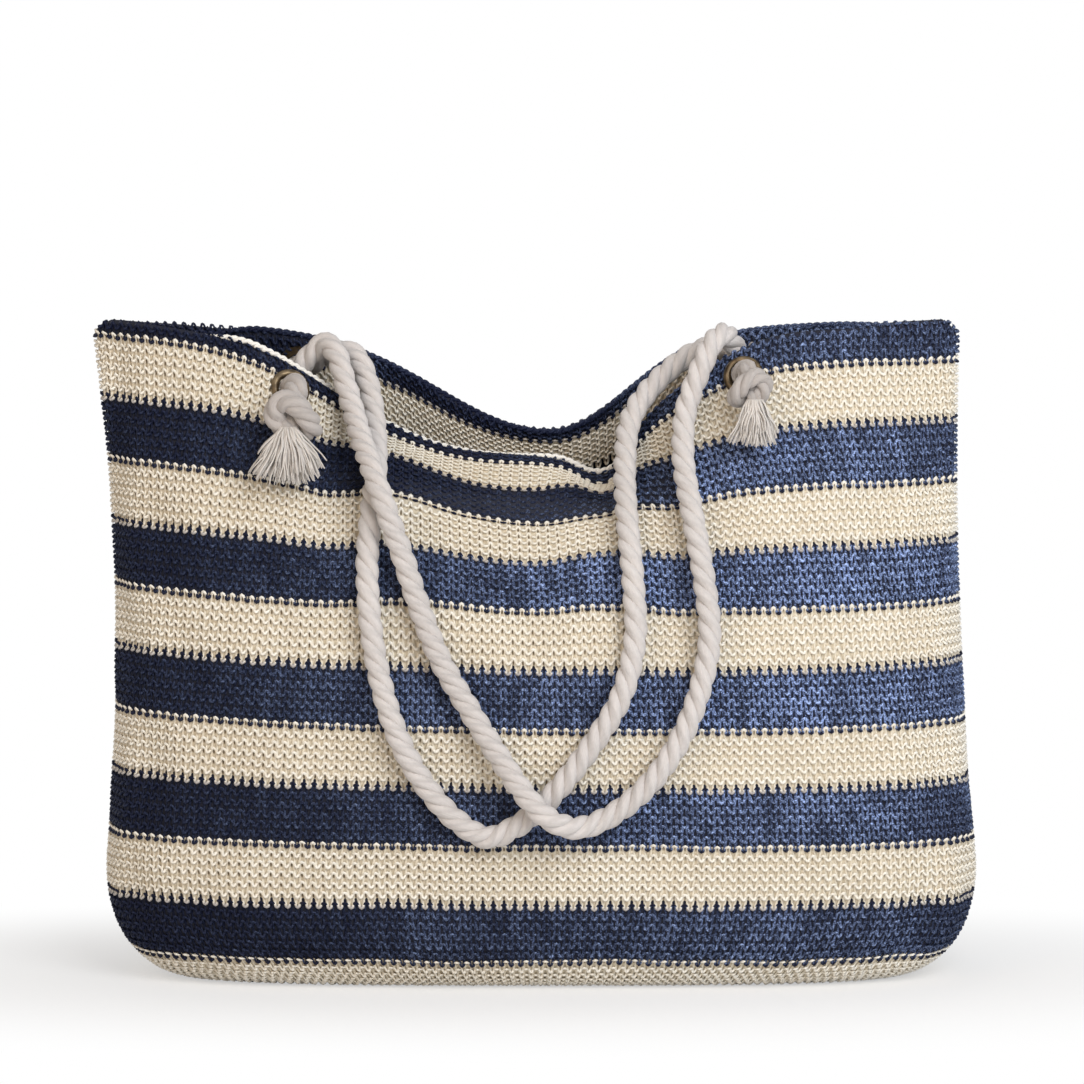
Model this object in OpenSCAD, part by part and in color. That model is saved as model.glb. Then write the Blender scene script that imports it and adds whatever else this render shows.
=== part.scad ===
// Knitted beach tote with two rope handles, standing on its flat base.
// X runs left to right as seen from the front, Y from front to rear, Z up.
// The origin lies on the ground under the middle of the bag.

/* [Bag] */
// Height of the side seams, base to rim
bag_h = 392; // [350:1:430]
// Width across the rim, seam to seam
rim_w = 520; // [480:1:570]
// Width across the waist
waist_w = 506; // [470:1:560]
// Width across the belly
belly_w = 520; // [480:1:570]
// Depth across the mouth, away from the fold
rim_d = 84; // [76:1:100]
// Depth across the waist
waist_d = 160; // [146:1:180]
// Depth across the belly
belly_d = 168; // [150:1:190]
// Width of the flat base
base_w = 420; // [380:1:450]
// Depth of the flat base
base_d = 100; // [80:1:120]
// Height of the rounded foot at the front and the rear
foot_h = 40; // [25:1:55]
// Height of the rounded foot at the two sides
corner_h = 75; // [50:1:100]

/* [Slump] */
// How far the front rim dips in the middle
front_drop = 74; // [40:1:85]
// How far the rear rim dips in the middle
rear_drop = 60; // [30:1:75]
// How far the top of the front falls back into the mouth
fold_in = 50; // [20:1:55]
// Depth of the small tuck in the front rim
tuck = 15; // [0:1:20]
// How far the stripes climb towards the left seam
skew = 8; // [0:1:12]
// How far the middle of both walls sags
sag = 7; // [0:1:12]

/* [Knit] */
// Thickness of the knit
fabric_t = 4; // [3:0.1:5]
// Thickness of the turned-in hem
hem_t = 2; // [1.5:0.1:3]
// Depth of the turned-in hem
hem_h = 36; // [34:1:50]
// Gap between one layer and the next
layer_gap = 0.5; // [0.4:0.1:1]
// Diameter of the edging yarn on the rim
edging_d = 3.2; // [2:0.1:4]
// Thickness of the tape over the side seams
tape_t = 1; // [0.6:0.1:2]

/* [Eyelets] */
// Distance between a wall's two eyelets
eyelet_gap = 266; // [250:1:276]
// Middle of the eyelets, left of the bag's middle
eyelet_shift = 10.5; // [8:0.5:13]
// Distance from the rim down to an eyelet's middle
eyelet_drop = 19; // [17:0.5:20]
// Outer diameter of the flange
flange_d = 24; // [22:0.5:26]
// Thickness of the eyelet's sheet metal
eyelet_t = 0.7; // [0.5:0.1:1]
// Height of the rounded flange
flange_h = 2.2; // [1.6:0.1:3]
// Thickness of the washer
washer_t = 1; // [0.8:0.1:1.5]

/* [Rope] */
// Diameter of the rope
rope_d = 14; // [12:0.5:14.5]
// Clearance between rope and eyelet, all round
rope_clear = 0.3; // [0.2:0.1:1]
// Diameter of a stopper knot
knot_d = 33; // [28:1:36]
// Height of a stopper knot
knot_h = 27; // [24:1:30]
// Length of a frayed tassel
tassel_l = 28; // [20:1:34]
// Thickness of a tassel at its tip
tassel_t = 16; // [12:1:18]

/* [Hidden] */

// Sides of the bag, as signs along Y, and ends of a handle, as signs along X
front = -1;
rear = 1;
left = -1;
right = 1;

// Heights at which the belly and the waist are measured
belly_z = 80;
waist_z = 220;
// How far the middle of the bag stands to the right at the belly, waist and rim
lean = [4, 2, -6];
// Squareness of the cross-section at the foot and at the rim, where 2 is an ellipse
foot_square = 3.2;
rim_square = 2.1;
square_from = 60;
// Share of the knit's length that is left as height in the leaning walls
take_up = 0.965;
// Heights between which the sag of the walls grows
sag_span = [60, 260];
// Dip of each rim along the width: place of its middle, then reach and power to each side
front_dip = [0.10, 0.585, 3.4, 0.28, 2];
rear_dip = [0.06, 0.36, 2, 0.25, 2];
// Length of wall under the rim that gives way, and how fast
give_l = 177;
give_power = 1.6;
// Length of wall under the rim that falls back, and the crease in it
fall_l = 227;
crease_drop = 77;
crease_w = [15, 20];
crease_share = 0.4;
// Place and reach of the tuck along the width, and the wall under the rim that it takes
tuck_at = 0.185;
tuck_reach = 0.06;
tuck_l = 97;

// Grid of a wall: columns from seam to seam, rows in the foot, the wall and the top
columns = 40;
foot_rows = 4;
wall_rows = 7;
top_rows = 10;
top_from = 0.62;
hem_span = 0.85;
edging_span = 0.95;
step = 0.002;

foot_l = foot_h * PI / 2;
stack_t = fabric_t + layer_gap + hem_t;
bore_r = rope_d / 2 + rope_clear;
barrel_r = bore_r + eyelet_t;
fit_gap = 0.15;
seat_d = 1;
clinch_w = 1.6;
far = 30;

// Points of the front handle from inside its left eyelet to inside its right one
front_line = [
    [-147, -9, 353], [-141, -4, 362], [-133, -4, 371],
    [-124, -9, 378], [-117, -17, 371], [-113, -23, 359],
    [-108, -30, 343], [-102, -48, 325], [-94, -70, 306], [-86, -82, 285], [-77, -82, 260],
    [-66, -82, 226], [-54, -88, 197], [-38, -92, 170], [-22, -98, 145], [-7, -107, 124],
    [6, -110, 110], [24, -102, 102], [44, -95, 108], [64, -94, 124], [80, -93, 145],
    [93, -91, 173], [101, -86, 209], [98, -79, 244], [92, -70, 278], [87, -52, 310],
    [88, -40, 335], [92, -38, 350], [98, -37, 365],
    [104, -32, 378], [111, -23, 384], [117, -12, 379],
    [122, -9, 369], [126, -13, 360]];
// Points of the rear handle, in the same order
rear_line = [
    [-138, 20, 363], [-127, 12, 369],
    [-116, 3, 373], [-107, -4, 371], [-101, -10, 361], [-97, -15, 347],
    [-94, -25, 327], [-93, -46, 304], [-95, -66, 281], [-97, -74, 253], [-95, -83, 220],
    [-89, -89, 186], [-78, -93, 152], [-62, -93, 124], [-45, -93, 105], [-27, -93, 95],
    [-10, -94, 102], [4, -94, 113], [19, -94, 130], [36, -93, 153], [50, -92, 177],
    [58, -86, 209], [57, -78, 243], [54, -61, 276], [53, -38, 304], [57, -16, 333],
    [69, -5, 351], [90, 4, 369],
    [104, 8, 375], [114, 12, 374], [119, 17, 368]];
// Number of points in each end, bend and loop of the two lines
front_cuts = [2, 5, 28, 31];
rear_cuts = [1, 5, 27, 30];
// Distance along an eyelet's axis at which the rope comes out and goes in
rope_out = 6;
rope_in = 12;
rope_sides = 10;
// Half of the gap between one stretch of rope and the next
cut_gap = 0.15;

// Middle of each stopper knot, and how wide its tassel spreads
knots = [[front, left, [-140, -56, 342], 40], [front, right, [125, -60, 349], 27],
    [rear, left, [-144, 67, 352], 32], [rear, right, [123, 67, 352], 32]];
tassel_lean = 4;

navy = [0.15, 0.17, 0.27];
cream = [0.86, 0.80, 0.70];
cotton = [0.88, 0.86, 0.83];
bronze = [0.36, 0.28, 0.21];

function smooth(a, b, x) = let (t = max(0, min(1, (x - a) / (b - a)))) t * t * (3 - 2 * t);
function unit(v) = v / norm(v);
// Smooth curve through three values, at the belly, the waist and the rim
function through(z, v) =
    v[0] * (z - waist_z) * (z - bag_h) / ((belly_z - waist_z) * (belly_z - bag_h))
    + v[1] * (z - belly_z) * (z - bag_h) / ((waist_z - belly_z) * (waist_z - bag_h))
    + v[2] * (z - belly_z) * (z - waist_z) / ((bag_h - belly_z) * (bag_h - waist_z));

// Height of the wall at length s up the knit, before it slumps
function rise(s) = s < foot_l ? foot_h * (1 - cos(90 * s / foot_l)) : foot_h + (s - foot_l) * take_up;
function foot_share(s) = s < foot_l ? 1 - sin(90 * s / foot_l) : 0;
function corner_share(z) = z < corner_h ? 1 - sqrt(1 - pow((corner_h - z) / corner_h, 2)) : 0;
function plain_w(z) = through(z, [belly_w, waist_w, rim_w] / 2);
function plain_d(z) = through(z, [belly_d, waist_d, rim_d] / 2);
function half_w(s) = plain_w(rise(s)) - corner_share(rise(s)) * (plain_w(0) - base_w / 2);
function half_d(s) = plain_d(rise(s)) - foot_share(s) * (plain_d(0) - base_d / 2);
function square_at(s) = foot_square + (rim_square - foot_square) * smooth(square_from, bag_h, rise(s));
function arch(q, n) = pow(max(0, 1 - pow(abs(q), n)), 1 / n);

// Length of knit from base to rim at place q across the width, from -1 to 1
function rim_s(q) = foot_l + (bag_h - foot_h + skew * q) / take_up;
function bell(q, d) = let (e = q - d[0]) exp(-pow(abs(e) / d[e < 0 ? 1 : 3], d[e < 0 ? 2 : 4]));
function give(q, s) = pow(max(0, 1 - (rim_s(q) - s) / give_l), give_power);
function fall(s) = (1 - crease_share) * smooth(rim_s(0) - fall_l, rim_s(0), s)
    + crease_share * smooth(rim_s(0) - crease_drop - crease_w[0], rim_s(0) - crease_drop + crease_w[1], s);
function pucker(q, s) = exp(-pow((q - tuck_at) / tuck_reach, 2)) * smooth(rim_s(0) - tuck_l, rim_s(0), s);

// Point of a wall's outer face at column u, from -1 to 1, and length s up the knit
function wall(side, u, s) =
    let (q = sin(90 * u))
    let (b = bell(q, side == front ? front_dip : rear_dip))
    let (drop = side == front ? front_drop : rear_drop)
    let (slump = drop * b * give(q, s) + skew * q * s / rim_s(1))
    let (droop = sag * smooth(sag_span[0], sag_span[1], s) * (1 - q * q))
    let (y = side * half_d(s) * arch(q, square_at(s)))
    [through(rise(s), lean) + half_w(s) * q,
     side == front ? y + b * fold_in * fall(s) : y,
     rise(s) - slump - droop - (side == front ? tuck * pucker(q, s) : 0)];
function wall_n(side, u, s) =
    let (du = wall(side, min(1, u + step), s) - wall(side, max(-1, u - step), s))
    let (ds = wall(side, u, s + 1) - wall(side, u, max(0, s - 1)))
    -side * unit(cross(du, ds));
// Point at a depth under the outer face; the seams stay in the plane between the walls
function under(side, u, s, depth) =
    let (p = wall(side, u, s) - depth * wall_n(side, u, s))
    abs(u) == 1 ? [p[0], 0, p[2]] : p;

// Way up from the rim, square to it and within the wall
function rim_at(side, u) = wall(side, u, rim_s(sin(90 * u)));
function rim_up(side, u) = side * unit(cross(
    rim_at(side, u + step) - rim_at(side, u - step), wall_n(side, u, rim_s(sin(90 * u)))));

function wall_u(side) = [for (i = [0:columns]) -side * (1 - 2 * i / columns)];
foot_t = foot_l / rim_s(0);
wall_t = concat(
    [for (i = [0:foot_rows - 1]) foot_t * i / foot_rows],
    [for (i = [0:wall_rows - 1]) foot_t + (top_from - foot_t) * i / wall_rows],
    [for (i = [0:top_rows]) top_from + (1 - top_from) * i / top_rows]);
hem_rows = [for (i = [0:2]) 1 - hem_h / rim_s(0) * (1 - i / 2)];
function layer(side, us, ts, depth) =
    [for (t = ts) [for (u = us) under(side, u, t * rim_s(sin(90 * u)), depth)]];

// Frame of an eyelet: its place on the outer face, and the way out
function eyelet_q(end) = let (s = rim_s(end * eyelet_gap / rim_w) - eyelet_drop)
    (end * eyelet_gap / 2 - eyelet_shift - through(rise(s), lean)) / half_w(s);
function eyelet_s(end) = rim_s(eyelet_q(end)) - eyelet_drop;
function eyelet_at(side, end) = wall(side, asin(eyelet_q(end)) / 90, eyelet_s(end));
function eyelet_n(side, end) = wall_n(side, asin(eyelet_q(end)) / 90, eyelet_s(end));

// Whole line of a handle, from the middle of one knot to the middle of the other
function knot_of(side, end) = [for (k = knots) if (k[0] == side && k[1] == end) k[2]][0];
function lead(side, end) =
    let (e = eyelet_at(side, end))
    let (n = eyelet_n(side, end))
    [knot_of(side, end), e + n * rope_out, e - n * rope_in];
function rope_line(side) =
    let (out = lead(side, right))
    concat(lead(side, left), side == front ? front_line : rear_line, [out[2], out[1], out[0]]);
lead_points = 3;

// Solid between two grids of points, seen from outside with rows going up
module sheet(outer, inner) {
    rows = len(outer) - 1;
    cols = len(outer[0]) - 1;
    back = (rows + 1) * (cols + 1);
    function at(i, j) = j * (cols + 1) + i;
    function quad(a, b, c, d) = [[a, b, c], [a, c, d]];
    faces = concat(
        [for (i = [0:cols - 1]) for (j = [0:rows - 1])
            each quad(at(i, j), at(i, j + 1), at(i + 1, j + 1), at(i + 1, j))],
        [for (i = [0:cols - 1]) for (j = [0:rows - 1])
            each quad(back + at(i, j), back + at(i + 1, j), back + at(i + 1, j + 1), back + at(i, j + 1))],
        [for (i = [0:cols - 1])
            each quad(at(i, 0), at(i + 1, 0), back + at(i + 1, 0), back + at(i, 0))],
        [for (i = [0:cols - 1])
            each quad(at(i + 1, rows), at(i, rows), back + at(i, rows), back + at(i + 1, rows))],
        [for (j = [0:rows - 1])
            each quad(at(0, j + 1), at(0, j), back + at(0, j), back + at(0, j + 1))],
        [for (j = [0:rows - 1])
            each quad(at(cols, j), at(cols, j + 1), back + at(cols, j + 1), back + at(cols, j))]);
    polyhedron([each each outer, each each inner], faces);
}

// Tube of radius r along some of a line's points, with its ends square to the line
module tube(line, from, to, r, sides) {
    last = len(line) - 1;
    way = [for (i = [0:last]) unit(line[min(last, i + 1)] - line[max(0, i - 1)])];
    start = unit(cross(way[0], abs(way[0][2]) < 0.9 ? [0, 0, 1] : [1, 0, 0]));
    across = [for (i = 0, n = start; i <= last;
        i = i + 1, n = i <= last ? unit(n - way[i] * (way[i] * n)) : n) n];
    points = [for (i = [from:to]) for (j = [0:sides - 1])
        let (a = 360 * j / sides)
        let (trim = i == from ? cut_gap : i == to ? -cut_gap : 0)
        line[i] + trim * way[i] + r * (cos(a) * across[i] + sin(a) * cross(way[i], across[i]))];
    end = (to - from) * sides;
    faces = concat(
        [for (i = [0:to - from - 1]) for (j = [0:sides - 1])
            let (a = i * sides + j)
            let (b = i * sides + (j + 1) % sides)
            each [[a, a + sides, b + sides], [a, b + sides, b]]],
        [[for (j = [0:sides - 1]) j]],
        [[for (j = [sides - 1:-1:0]) end + j]]);
    polyhedron(points, faces);
}

// Children are drawn with Z along the eyelet's axis and Z = 0 on the outer face
module at_eyelet(side, end) {
    n = eyelet_n(side, end);
    translate(eyelet_at(side, end))
    rotate([0, acos(n[2]), atan2(n[1], n[0])])
    children();
}

// Hole and seats that an eyelet and its washer press into the knit
module eyelet_cut(side, end) {
    at_eyelet(side, end) {
        translate([0, 0, -far / 2])
        cylinder(r = barrel_r + fit_gap, h = far, $fn = 48);
        translate([0, 0, -seat_d])
        cylinder(d = flange_d + 2 * fit_gap, h = far / 3, $fn = 48);
        translate([0, 0, -stack_t + seat_d - far / 3])
        cylinder(d = flange_d + 2 * fit_gap, h = far / 3, $fn = 48);
    }
}

module panel(side) {
    color(navy)
    difference() {
        sheet(layer(side, wall_u(side), wall_t, 0), layer(side, wall_u(side), wall_t, fabric_t));
        eyelet_cut(side, left);
        eyelet_cut(side, right);
    }
}

module hem(side) {
    us = [for (u = wall_u(side)) if (abs(u) <= hem_span) u];
    color(navy)
    difference() {
        sheet(layer(side, us, hem_rows, fabric_t + layer_gap), layer(side, us, hem_rows, stack_t));
        eyelet_cut(side, left);
        eyelet_cut(side, right);
    }
}

module base_panel() {
    w = half_w(0) - layer_gap;
    d = half_d(0) - layer_gap;
    middle = through(0, lean);
    edge = [for (u = wall_u(front)) [sin(90 * u), arch(sin(90 * u), square_at(0))]];
    color(cream)
    linear_extrude(fabric_t)
    polygon(concat(
        [for (p = edge) [middle + w * p[0], -d * p[1]]],
        [for (i = [columns - 1:-1:1]) [middle + w * edge[i][0], d * edge[i][1]]]));
}

module edging(side) {
    lift = edging_d / 2 + 2 * layer_gap;
    line = [for (u = wall_u(side)) if (abs(u) <= edging_span)
        under(side, u, rim_s(sin(90 * u)), stack_t / 2) + lift * rim_up(side, u)];
    color(cream)
    tube(line, 0, len(line) - 1, edging_d / 2, 6);
}

// Tape over the inner face of a side seam, a little of it on each wall
module seam_tape(end) {
    reach = [0.97, 0.985];
    ts = [for (i = [0:12]) foot_t + (1 - hem_h / rim_s(0) - foot_t) * i / 12];
    function strip(depth) = [for (t = ts) let (s = t * rim_s(end)) [
        under(end * front, end * reach[0], s, depth), under(end * front, end * reach[1], s, depth),
        under(front, end, s, depth),
        under(end * rear, end * reach[1], s, depth), under(end * rear, end * reach[0], s, depth)]];
    color(cream)
    sheet(strip(fabric_t + layer_gap), strip(fabric_t + layer_gap + tape_t));
}

module eyelet(side, end) {
    dome_r = flange_d / 2 - bore_r;
    back = -stack_t + seat_d - washer_t;
    color(bronze)
    at_eyelet(side, end)
    rotate_extrude($fn = 64)
    polygon(concat(
        [[bore_r, back - eyelet_t], [barrel_r + clinch_w, back - eyelet_t],
         [barrel_r + clinch_w, back], [barrel_r, back], [barrel_r, -seat_d], [flange_d / 2, -seat_d]],
        [for (a = [15:15:165])
            [bore_r + dome_r / 2 * (1 + cos(a)), -seat_d + flange_h * sin(a)]],
        [[bore_r, -seat_d]]));
}

module washer(side, end) {
    color(bronze)
    at_eyelet(side, end)
    translate([0, 0, -stack_t + seat_d - washer_t])
    difference() {
        cylinder(d = flange_d, h = washer_t, $fn = 64);
        translate([0, 0, -washer_t])
        cylinder(r = barrel_r + fit_gap, h = 3 * washer_t, $fn = 64);
    }
}

// One stretch of a handle's rope, between two points of its whole line
module rope(side, from, to) {
    color(cotton)
    tube(rope_line(side), from, to, rope_d / 2, rope_sides);
}
function cut(side, i) = lead_points + (side == front ? front_cuts : rear_cuts)[i];
module rope_loop(side) {
    rope(side, cut(side, 1), cut(side, 2));
}
module rope_bend(side, end) {
    rope(side, cut(side, end == left ? 0 : 2), cut(side, end == left ? 1 : 3));
}
module rope_end(side, end) {
    if (end == left)
        rope(side, 0, cut(side, 0));
    else
        rope(side, cut(side, 3), len(rope_line(side)) - 1);
}

module knot(side, end) {
    r = knot_h / 4;
    color(cotton)
    translate(knot_of(side, end))
    rotate_extrude($fn = 48)
    union() {
        for (z = [-r, r])
            translate([knot_d / 2 - r, z])
            circle(r, $fn = 40);
        translate([0, -2 * r])
        square([knot_d / 2 - r, 4 * r]);
        translate([0, -r])
        square([knot_d / 2 - r / 3, 2 * r]);
    }
}

module tassel(side, end) {
    spread = [for (k = knots) if (k[0] == side && k[1] == end) k[3]][0];
    tip = knot_of(side, end) + [0, side * tassel_lean, -knot_h / 2 - tassel_l];
    color(cotton)
    translate(tip)
    linear_extrude(tassel_l, scale = [rope_d / spread, rope_d / tassel_t], slices = 2)
    polygon([for (i = [0:23]) [spread / 2 * cos(15 * i), tassel_t / 2 * sin(15 * i)]]);
}

panel(front);  // front_panel
panel(rear);  // rear_panel
base_panel();
hem(front);  // front_hem
hem(rear);  // rear_hem
edging(front);  // front_edging
edging(rear);  // rear_edging
seam_tape(left);  // left_seam_tape
seam_tape(right);  // right_seam_tape
eyelet(front, left);  // front_left_eyelet
eyelet(front, right);  // front_right_eyelet
eyelet(rear, left);  // rear_left_eyelet
eyelet(rear, right);  // rear_right_eyelet
washer(front, left);  // front_left_washer
washer(front, right);  // front_right_washer
washer(rear, left);  // rear_left_washer
washer(rear, right);  // rear_right_washer
rope_loop(front);  // front_loop
rope_bend(front, left);  // front_left_bend
rope_bend(front, right);  // front_right_bend
rope_end(front, left);  // front_left_end
rope_end(front, right);  // front_right_end
rope_loop(rear);  // rear_loop
rope_bend(rear, left);  // rear_left_bend
rope_bend(rear, right);  // rear_right_bend
rope_end(rear, left);  // rear_left_end
rope_end(rear, right);  // rear_right_end
knot(front, left);  // front_left_knot
knot(front, right);  // front_right_knot
knot(rear, left);  // rear_left_knot
knot(rear, right);  // rear_right_knot
tassel(front, left);  // front_left_tassel
tassel(front, right);  // front_right_tassel
tassel(rear, left);  // rear_left_tassel
tassel(rear, right);  // rear_right_tassel
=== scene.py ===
# %% [markdown]
# # A knitted beach tote with rope handles
# The bag is built as the real one is: a knitted sheet for each wall, folded in at the rim, with rope
# handles that run through bronze eyelets and end in knots. The CAD frame comes first, because every
# piece has to sit where its solid is.

# %% Load the frame
import bpy
import math
import numpy as np
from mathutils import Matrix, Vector


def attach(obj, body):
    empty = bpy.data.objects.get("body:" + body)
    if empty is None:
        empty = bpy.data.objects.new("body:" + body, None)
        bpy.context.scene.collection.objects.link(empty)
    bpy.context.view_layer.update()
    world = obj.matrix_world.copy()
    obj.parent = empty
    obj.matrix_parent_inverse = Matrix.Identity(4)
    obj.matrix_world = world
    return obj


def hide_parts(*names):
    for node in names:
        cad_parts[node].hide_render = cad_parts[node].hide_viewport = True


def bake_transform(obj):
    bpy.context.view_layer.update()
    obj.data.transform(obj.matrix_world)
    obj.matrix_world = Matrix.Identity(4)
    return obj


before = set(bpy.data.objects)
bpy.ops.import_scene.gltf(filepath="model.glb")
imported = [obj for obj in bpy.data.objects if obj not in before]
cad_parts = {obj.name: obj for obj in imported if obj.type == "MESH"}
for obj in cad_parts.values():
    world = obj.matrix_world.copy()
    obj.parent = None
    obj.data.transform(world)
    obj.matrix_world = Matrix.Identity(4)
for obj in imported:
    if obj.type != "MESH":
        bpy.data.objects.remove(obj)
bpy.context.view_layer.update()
MM = 0.001

# %% [markdown]
# ## Camera
# The photograph was taken from the front with a long lens, a little above the middle of the bag, so the
# verticals stay parallel. A long lens far away gives the same look. The camera points a little higher
# than the bag's middle, which leaves the white space above it.

# %% Camera
CAMERA_AT, LOOK_AT = (0, -2.2874, 0.4404), (0.0045, 0.0061, 0.2585)


def facing(place, aim):
    """The turn of a camera or a lamp that stands at a place and looks at an aim."""
    return (Vector(aim) - Vector(place)).to_track_quat("-Z", "Y").to_euler()


camera = bpy.data.objects.new("camera", bpy.data.cameras.new("camera"))
bpy.context.collection.objects.link(camera)
camera.data.lens = 127.3
camera.data.sensor_width = 36
camera.data.clip_end = 50
camera.location = CAMERA_AT
camera.rotation_euler = facing(CAMERA_AT, LOOK_AT)
bpy.context.scene.camera = camera
print("camera", [round(x, 3) for x in camera.location], "lens", camera.data.lens)

# %% [markdown]
# ## The sizes of the walls
# These are the driving sizes of the bag, the same as in the CAD source, in millimetres. Widths, depths and
# leans are given at three heights and run smoothly between them. The rim sinks in a dip with its own middle
# and width on each wall, and the front rim also falls back into the mouth.

# %% Wall sizes
FRONT, REAR = -1, 1
BAG_H, FOOT_H, CORNER_H = 392, 40, 75
BELLY_Z, WAIST_Z = 80, 220
WIDTHS, DEPTHS, LEANS = (260, 253, 260), (84, 80, 42), (4, 2, -6)
BASE_W, BASE_D = 210, 50
# How round the cross-section is: a power at the foot, and what it loses up to the rim
FOOT_POWER, POWER_LOSS, POWER_FROM = 3.2, 1.1, 60
# Height for each length of knit, how far the rows slope from seam to seam, and the sag of the middle
TAKE_UP, SKEW = 0.965, 8
SAG, SAG_FROM, SAG_TO = 7, 60, 260
# The dip of each rim: its middle, then width and power on the left and on the right
DIP = {FRONT: (0.10, 0.585, 3.4, 0.28, 2), REAR: (0.06, 0.36, 2, 0.25, 2)}
DROP = {FRONT: 74, REAR: 60}
GIVE_REACH, GIVE_POWER = 177, 1.6
# The front rim falls in by shares, each between two distances under the rim, and has one small tuck
FOLD_IN, FALLS = 50, ((0.6, 227, 0), (0.4, 92, 57))
TUCK, TUCK_AT, TUCK_WIDE, TUCK_REACH = 15, 0.185, 0.06, 97
FOOT_L = FOOT_H * math.pi / 2
print("bag", 2 * WIDTHS[2], "mm wide at the rim,", BAG_H, "mm high at the seams")

# %% [markdown]
# ## The shape of the walls
# Each wall is one smooth rule: a rounded cross-section that changes from the base to the rim, and a slump
# that lets the middle of the rim sink. It could be a sculpted mesh, but having a rule lets the knit, the
# hem, the eyelets and the rim yarn all sit on the same surface.


# %% Wall rule
def smooth(a, b, x):
    """A smooth step from 0 at a to 1 at b."""
    t = np.clip((x - a) / (b - a), 0, 1)
    return t * t * (3 - 2 * t)


def through(z, v):
    """The value at height z on a smooth line through the values at the belly, the waist and the rim."""
    a, b, c = BELLY_Z, WAIST_Z, BAG_H
    return (v[0] * (z - b) * (z - c) / ((a - b) * (a - c)) + v[1] * (z - a) * (z - c) / ((b - a) * (b - c))
            + v[2] * (z - a) * (z - b) / ((c - a) * (c - b)))


def rim_s(q):
    """The length of knit from the base to the rim at the sideways place q, from -1 to 1."""
    return FOOT_L + (BAG_H - FOOT_H + SKEW * q) / TAKE_UP


def wall(side, u, s):
    """Points of the outer face, in mm, at column u from -1 to 1 and length s up the knit."""
    q = np.sin(np.pi / 2 * u)
    turn = np.clip(s / FOOT_L, 0, 1) * np.pi / 2
    z = np.where(s < FOOT_L, FOOT_H * (1 - np.cos(turn)), FOOT_H + (s - FOOT_L) * TAKE_UP)
    corner = 1 - np.sqrt(1 - np.clip((CORNER_H - z) / CORNER_H, 0, 1) ** 2)
    w = through(z, WIDTHS) - corner * (through(0, WIDTHS) - BASE_W)
    d = through(z, DEPTHS) - (1 - np.sin(turn)) * (through(0, DEPTHS) - BASE_D)
    n = FOOT_POWER - POWER_LOSS * smooth(POWER_FROM, BAG_H, z)
    arch = np.maximum(0, 1 - np.abs(q) ** n) ** (1 / n)
    middle, left, left_power, right, right_power = DIP[side]
    e = q - middle
    bell = np.exp(-np.where(e < 0, (np.abs(e) / left) ** left_power, (np.abs(e) / right) ** right_power))
    give = np.maximum(0, 1 - (rim_s(q) - s) / GIVE_REACH) ** GIVE_POWER
    drop = DROP[side] * bell * give + SKEW * q * s / rim_s(1)
    drop = drop + SAG * smooth(SAG_FROM, SAG_TO, s) * (1 - q * q)
    y = side * d * arch
    if side == FRONT:
        top = rim_s(0)
        y = y + bell * FOLD_IN * sum(share * smooth(top - a, top - b, s) for share, a, b in FALLS)
        drop = drop + TUCK * np.exp(-((q - TUCK_AT) / TUCK_WIDE) ** 2) * smooth(top - TUCK_REACH, top, s)
    return np.stack([through(z, LEANS) + w * q, y, z - drop], -1)


print("rim at the seams, length of knit:", round(rim_s(-1)), round(rim_s(1)), "mm")

# %% [markdown]
# ## Directions on the wall
# A piece that lies on the wall needs to know which way is out and which way is up the knit. Two small steps
# on the rule, sideways and upwards, give both. Past a side seam the steps go on into the other wall.

# %% Wall directions
STEP_U, STEP_S = 0.004, 0.5


def around(side, u, s):
    """The wall, going on round the side seam into the other wall."""
    u, s = np.broadcast_arrays(np.asarray(u, float), np.asarray(s, float))
    past = np.abs(u) > 1
    return np.where(past[..., None], wall(-side, np.sign(u) * 2 - u, s), wall(side, np.clip(u, -1, 1), s))


def frame_at(side, u, s):
    """Point, outward normal and upward tangent of the outer face."""
    du = around(side, u + STEP_U, s) - around(side, u - STEP_U, s)
    ds = around(side, u, s + STEP_S) - around(side, u, np.maximum(0, s - STEP_S))
    ds = ds / np.linalg.norm(ds, axis=-1, keepdims=True)
    n = -side * np.cross(du, ds)
    return around(side, u, s), n / np.linalg.norm(n, axis=-1, keepdims=True), ds


_, outward, _ = frame_at(FRONT, np.zeros(1), np.full(1, BAG_H / 2))
print("way out in the middle of the front:", np.round(outward[0], 2))

# %% [markdown]
# ## Where the eyelets are
# Two eyelets sit in each wall, a little under the rim. Their places come from the same rule as in the
# CAD source, and the ropes need them, so they are worked out first.

# %% Eyelet places
LEFT, RIGHT = -1, 1
SIDES, ENDS = {FRONT: "front", REAR: "rear"}, {LEFT: "left", RIGHT: "right"}
EYELET_GAP, EYELET_SHIFT, EYELET_DOWN, RIM_W = 266, -10.5, 19, 520
EYELETS = {}
for side in SIDES:
    for end in ENDS:
        s = rim_s(end * EYELET_GAP / RIM_W) - EYELET_DOWN
        z = FOOT_H + (s - FOOT_L) * TAKE_UP
        q = (end * EYELET_GAP / 2 + EYELET_SHIFT - through(z, LEANS)) / through(z, WIDTHS)
        u = math.asin(q) * 2 / math.pi
        p, n, _ = frame_at(side, np.array([u]), np.array([rim_s(q) - EYELET_DOWN]))
        EYELETS[side, end] = p[0], n[0]
        print("eyelet", SIDES[side], ENDS[end], np.round(p[0], 1), np.round(n[0], 2))
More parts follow.
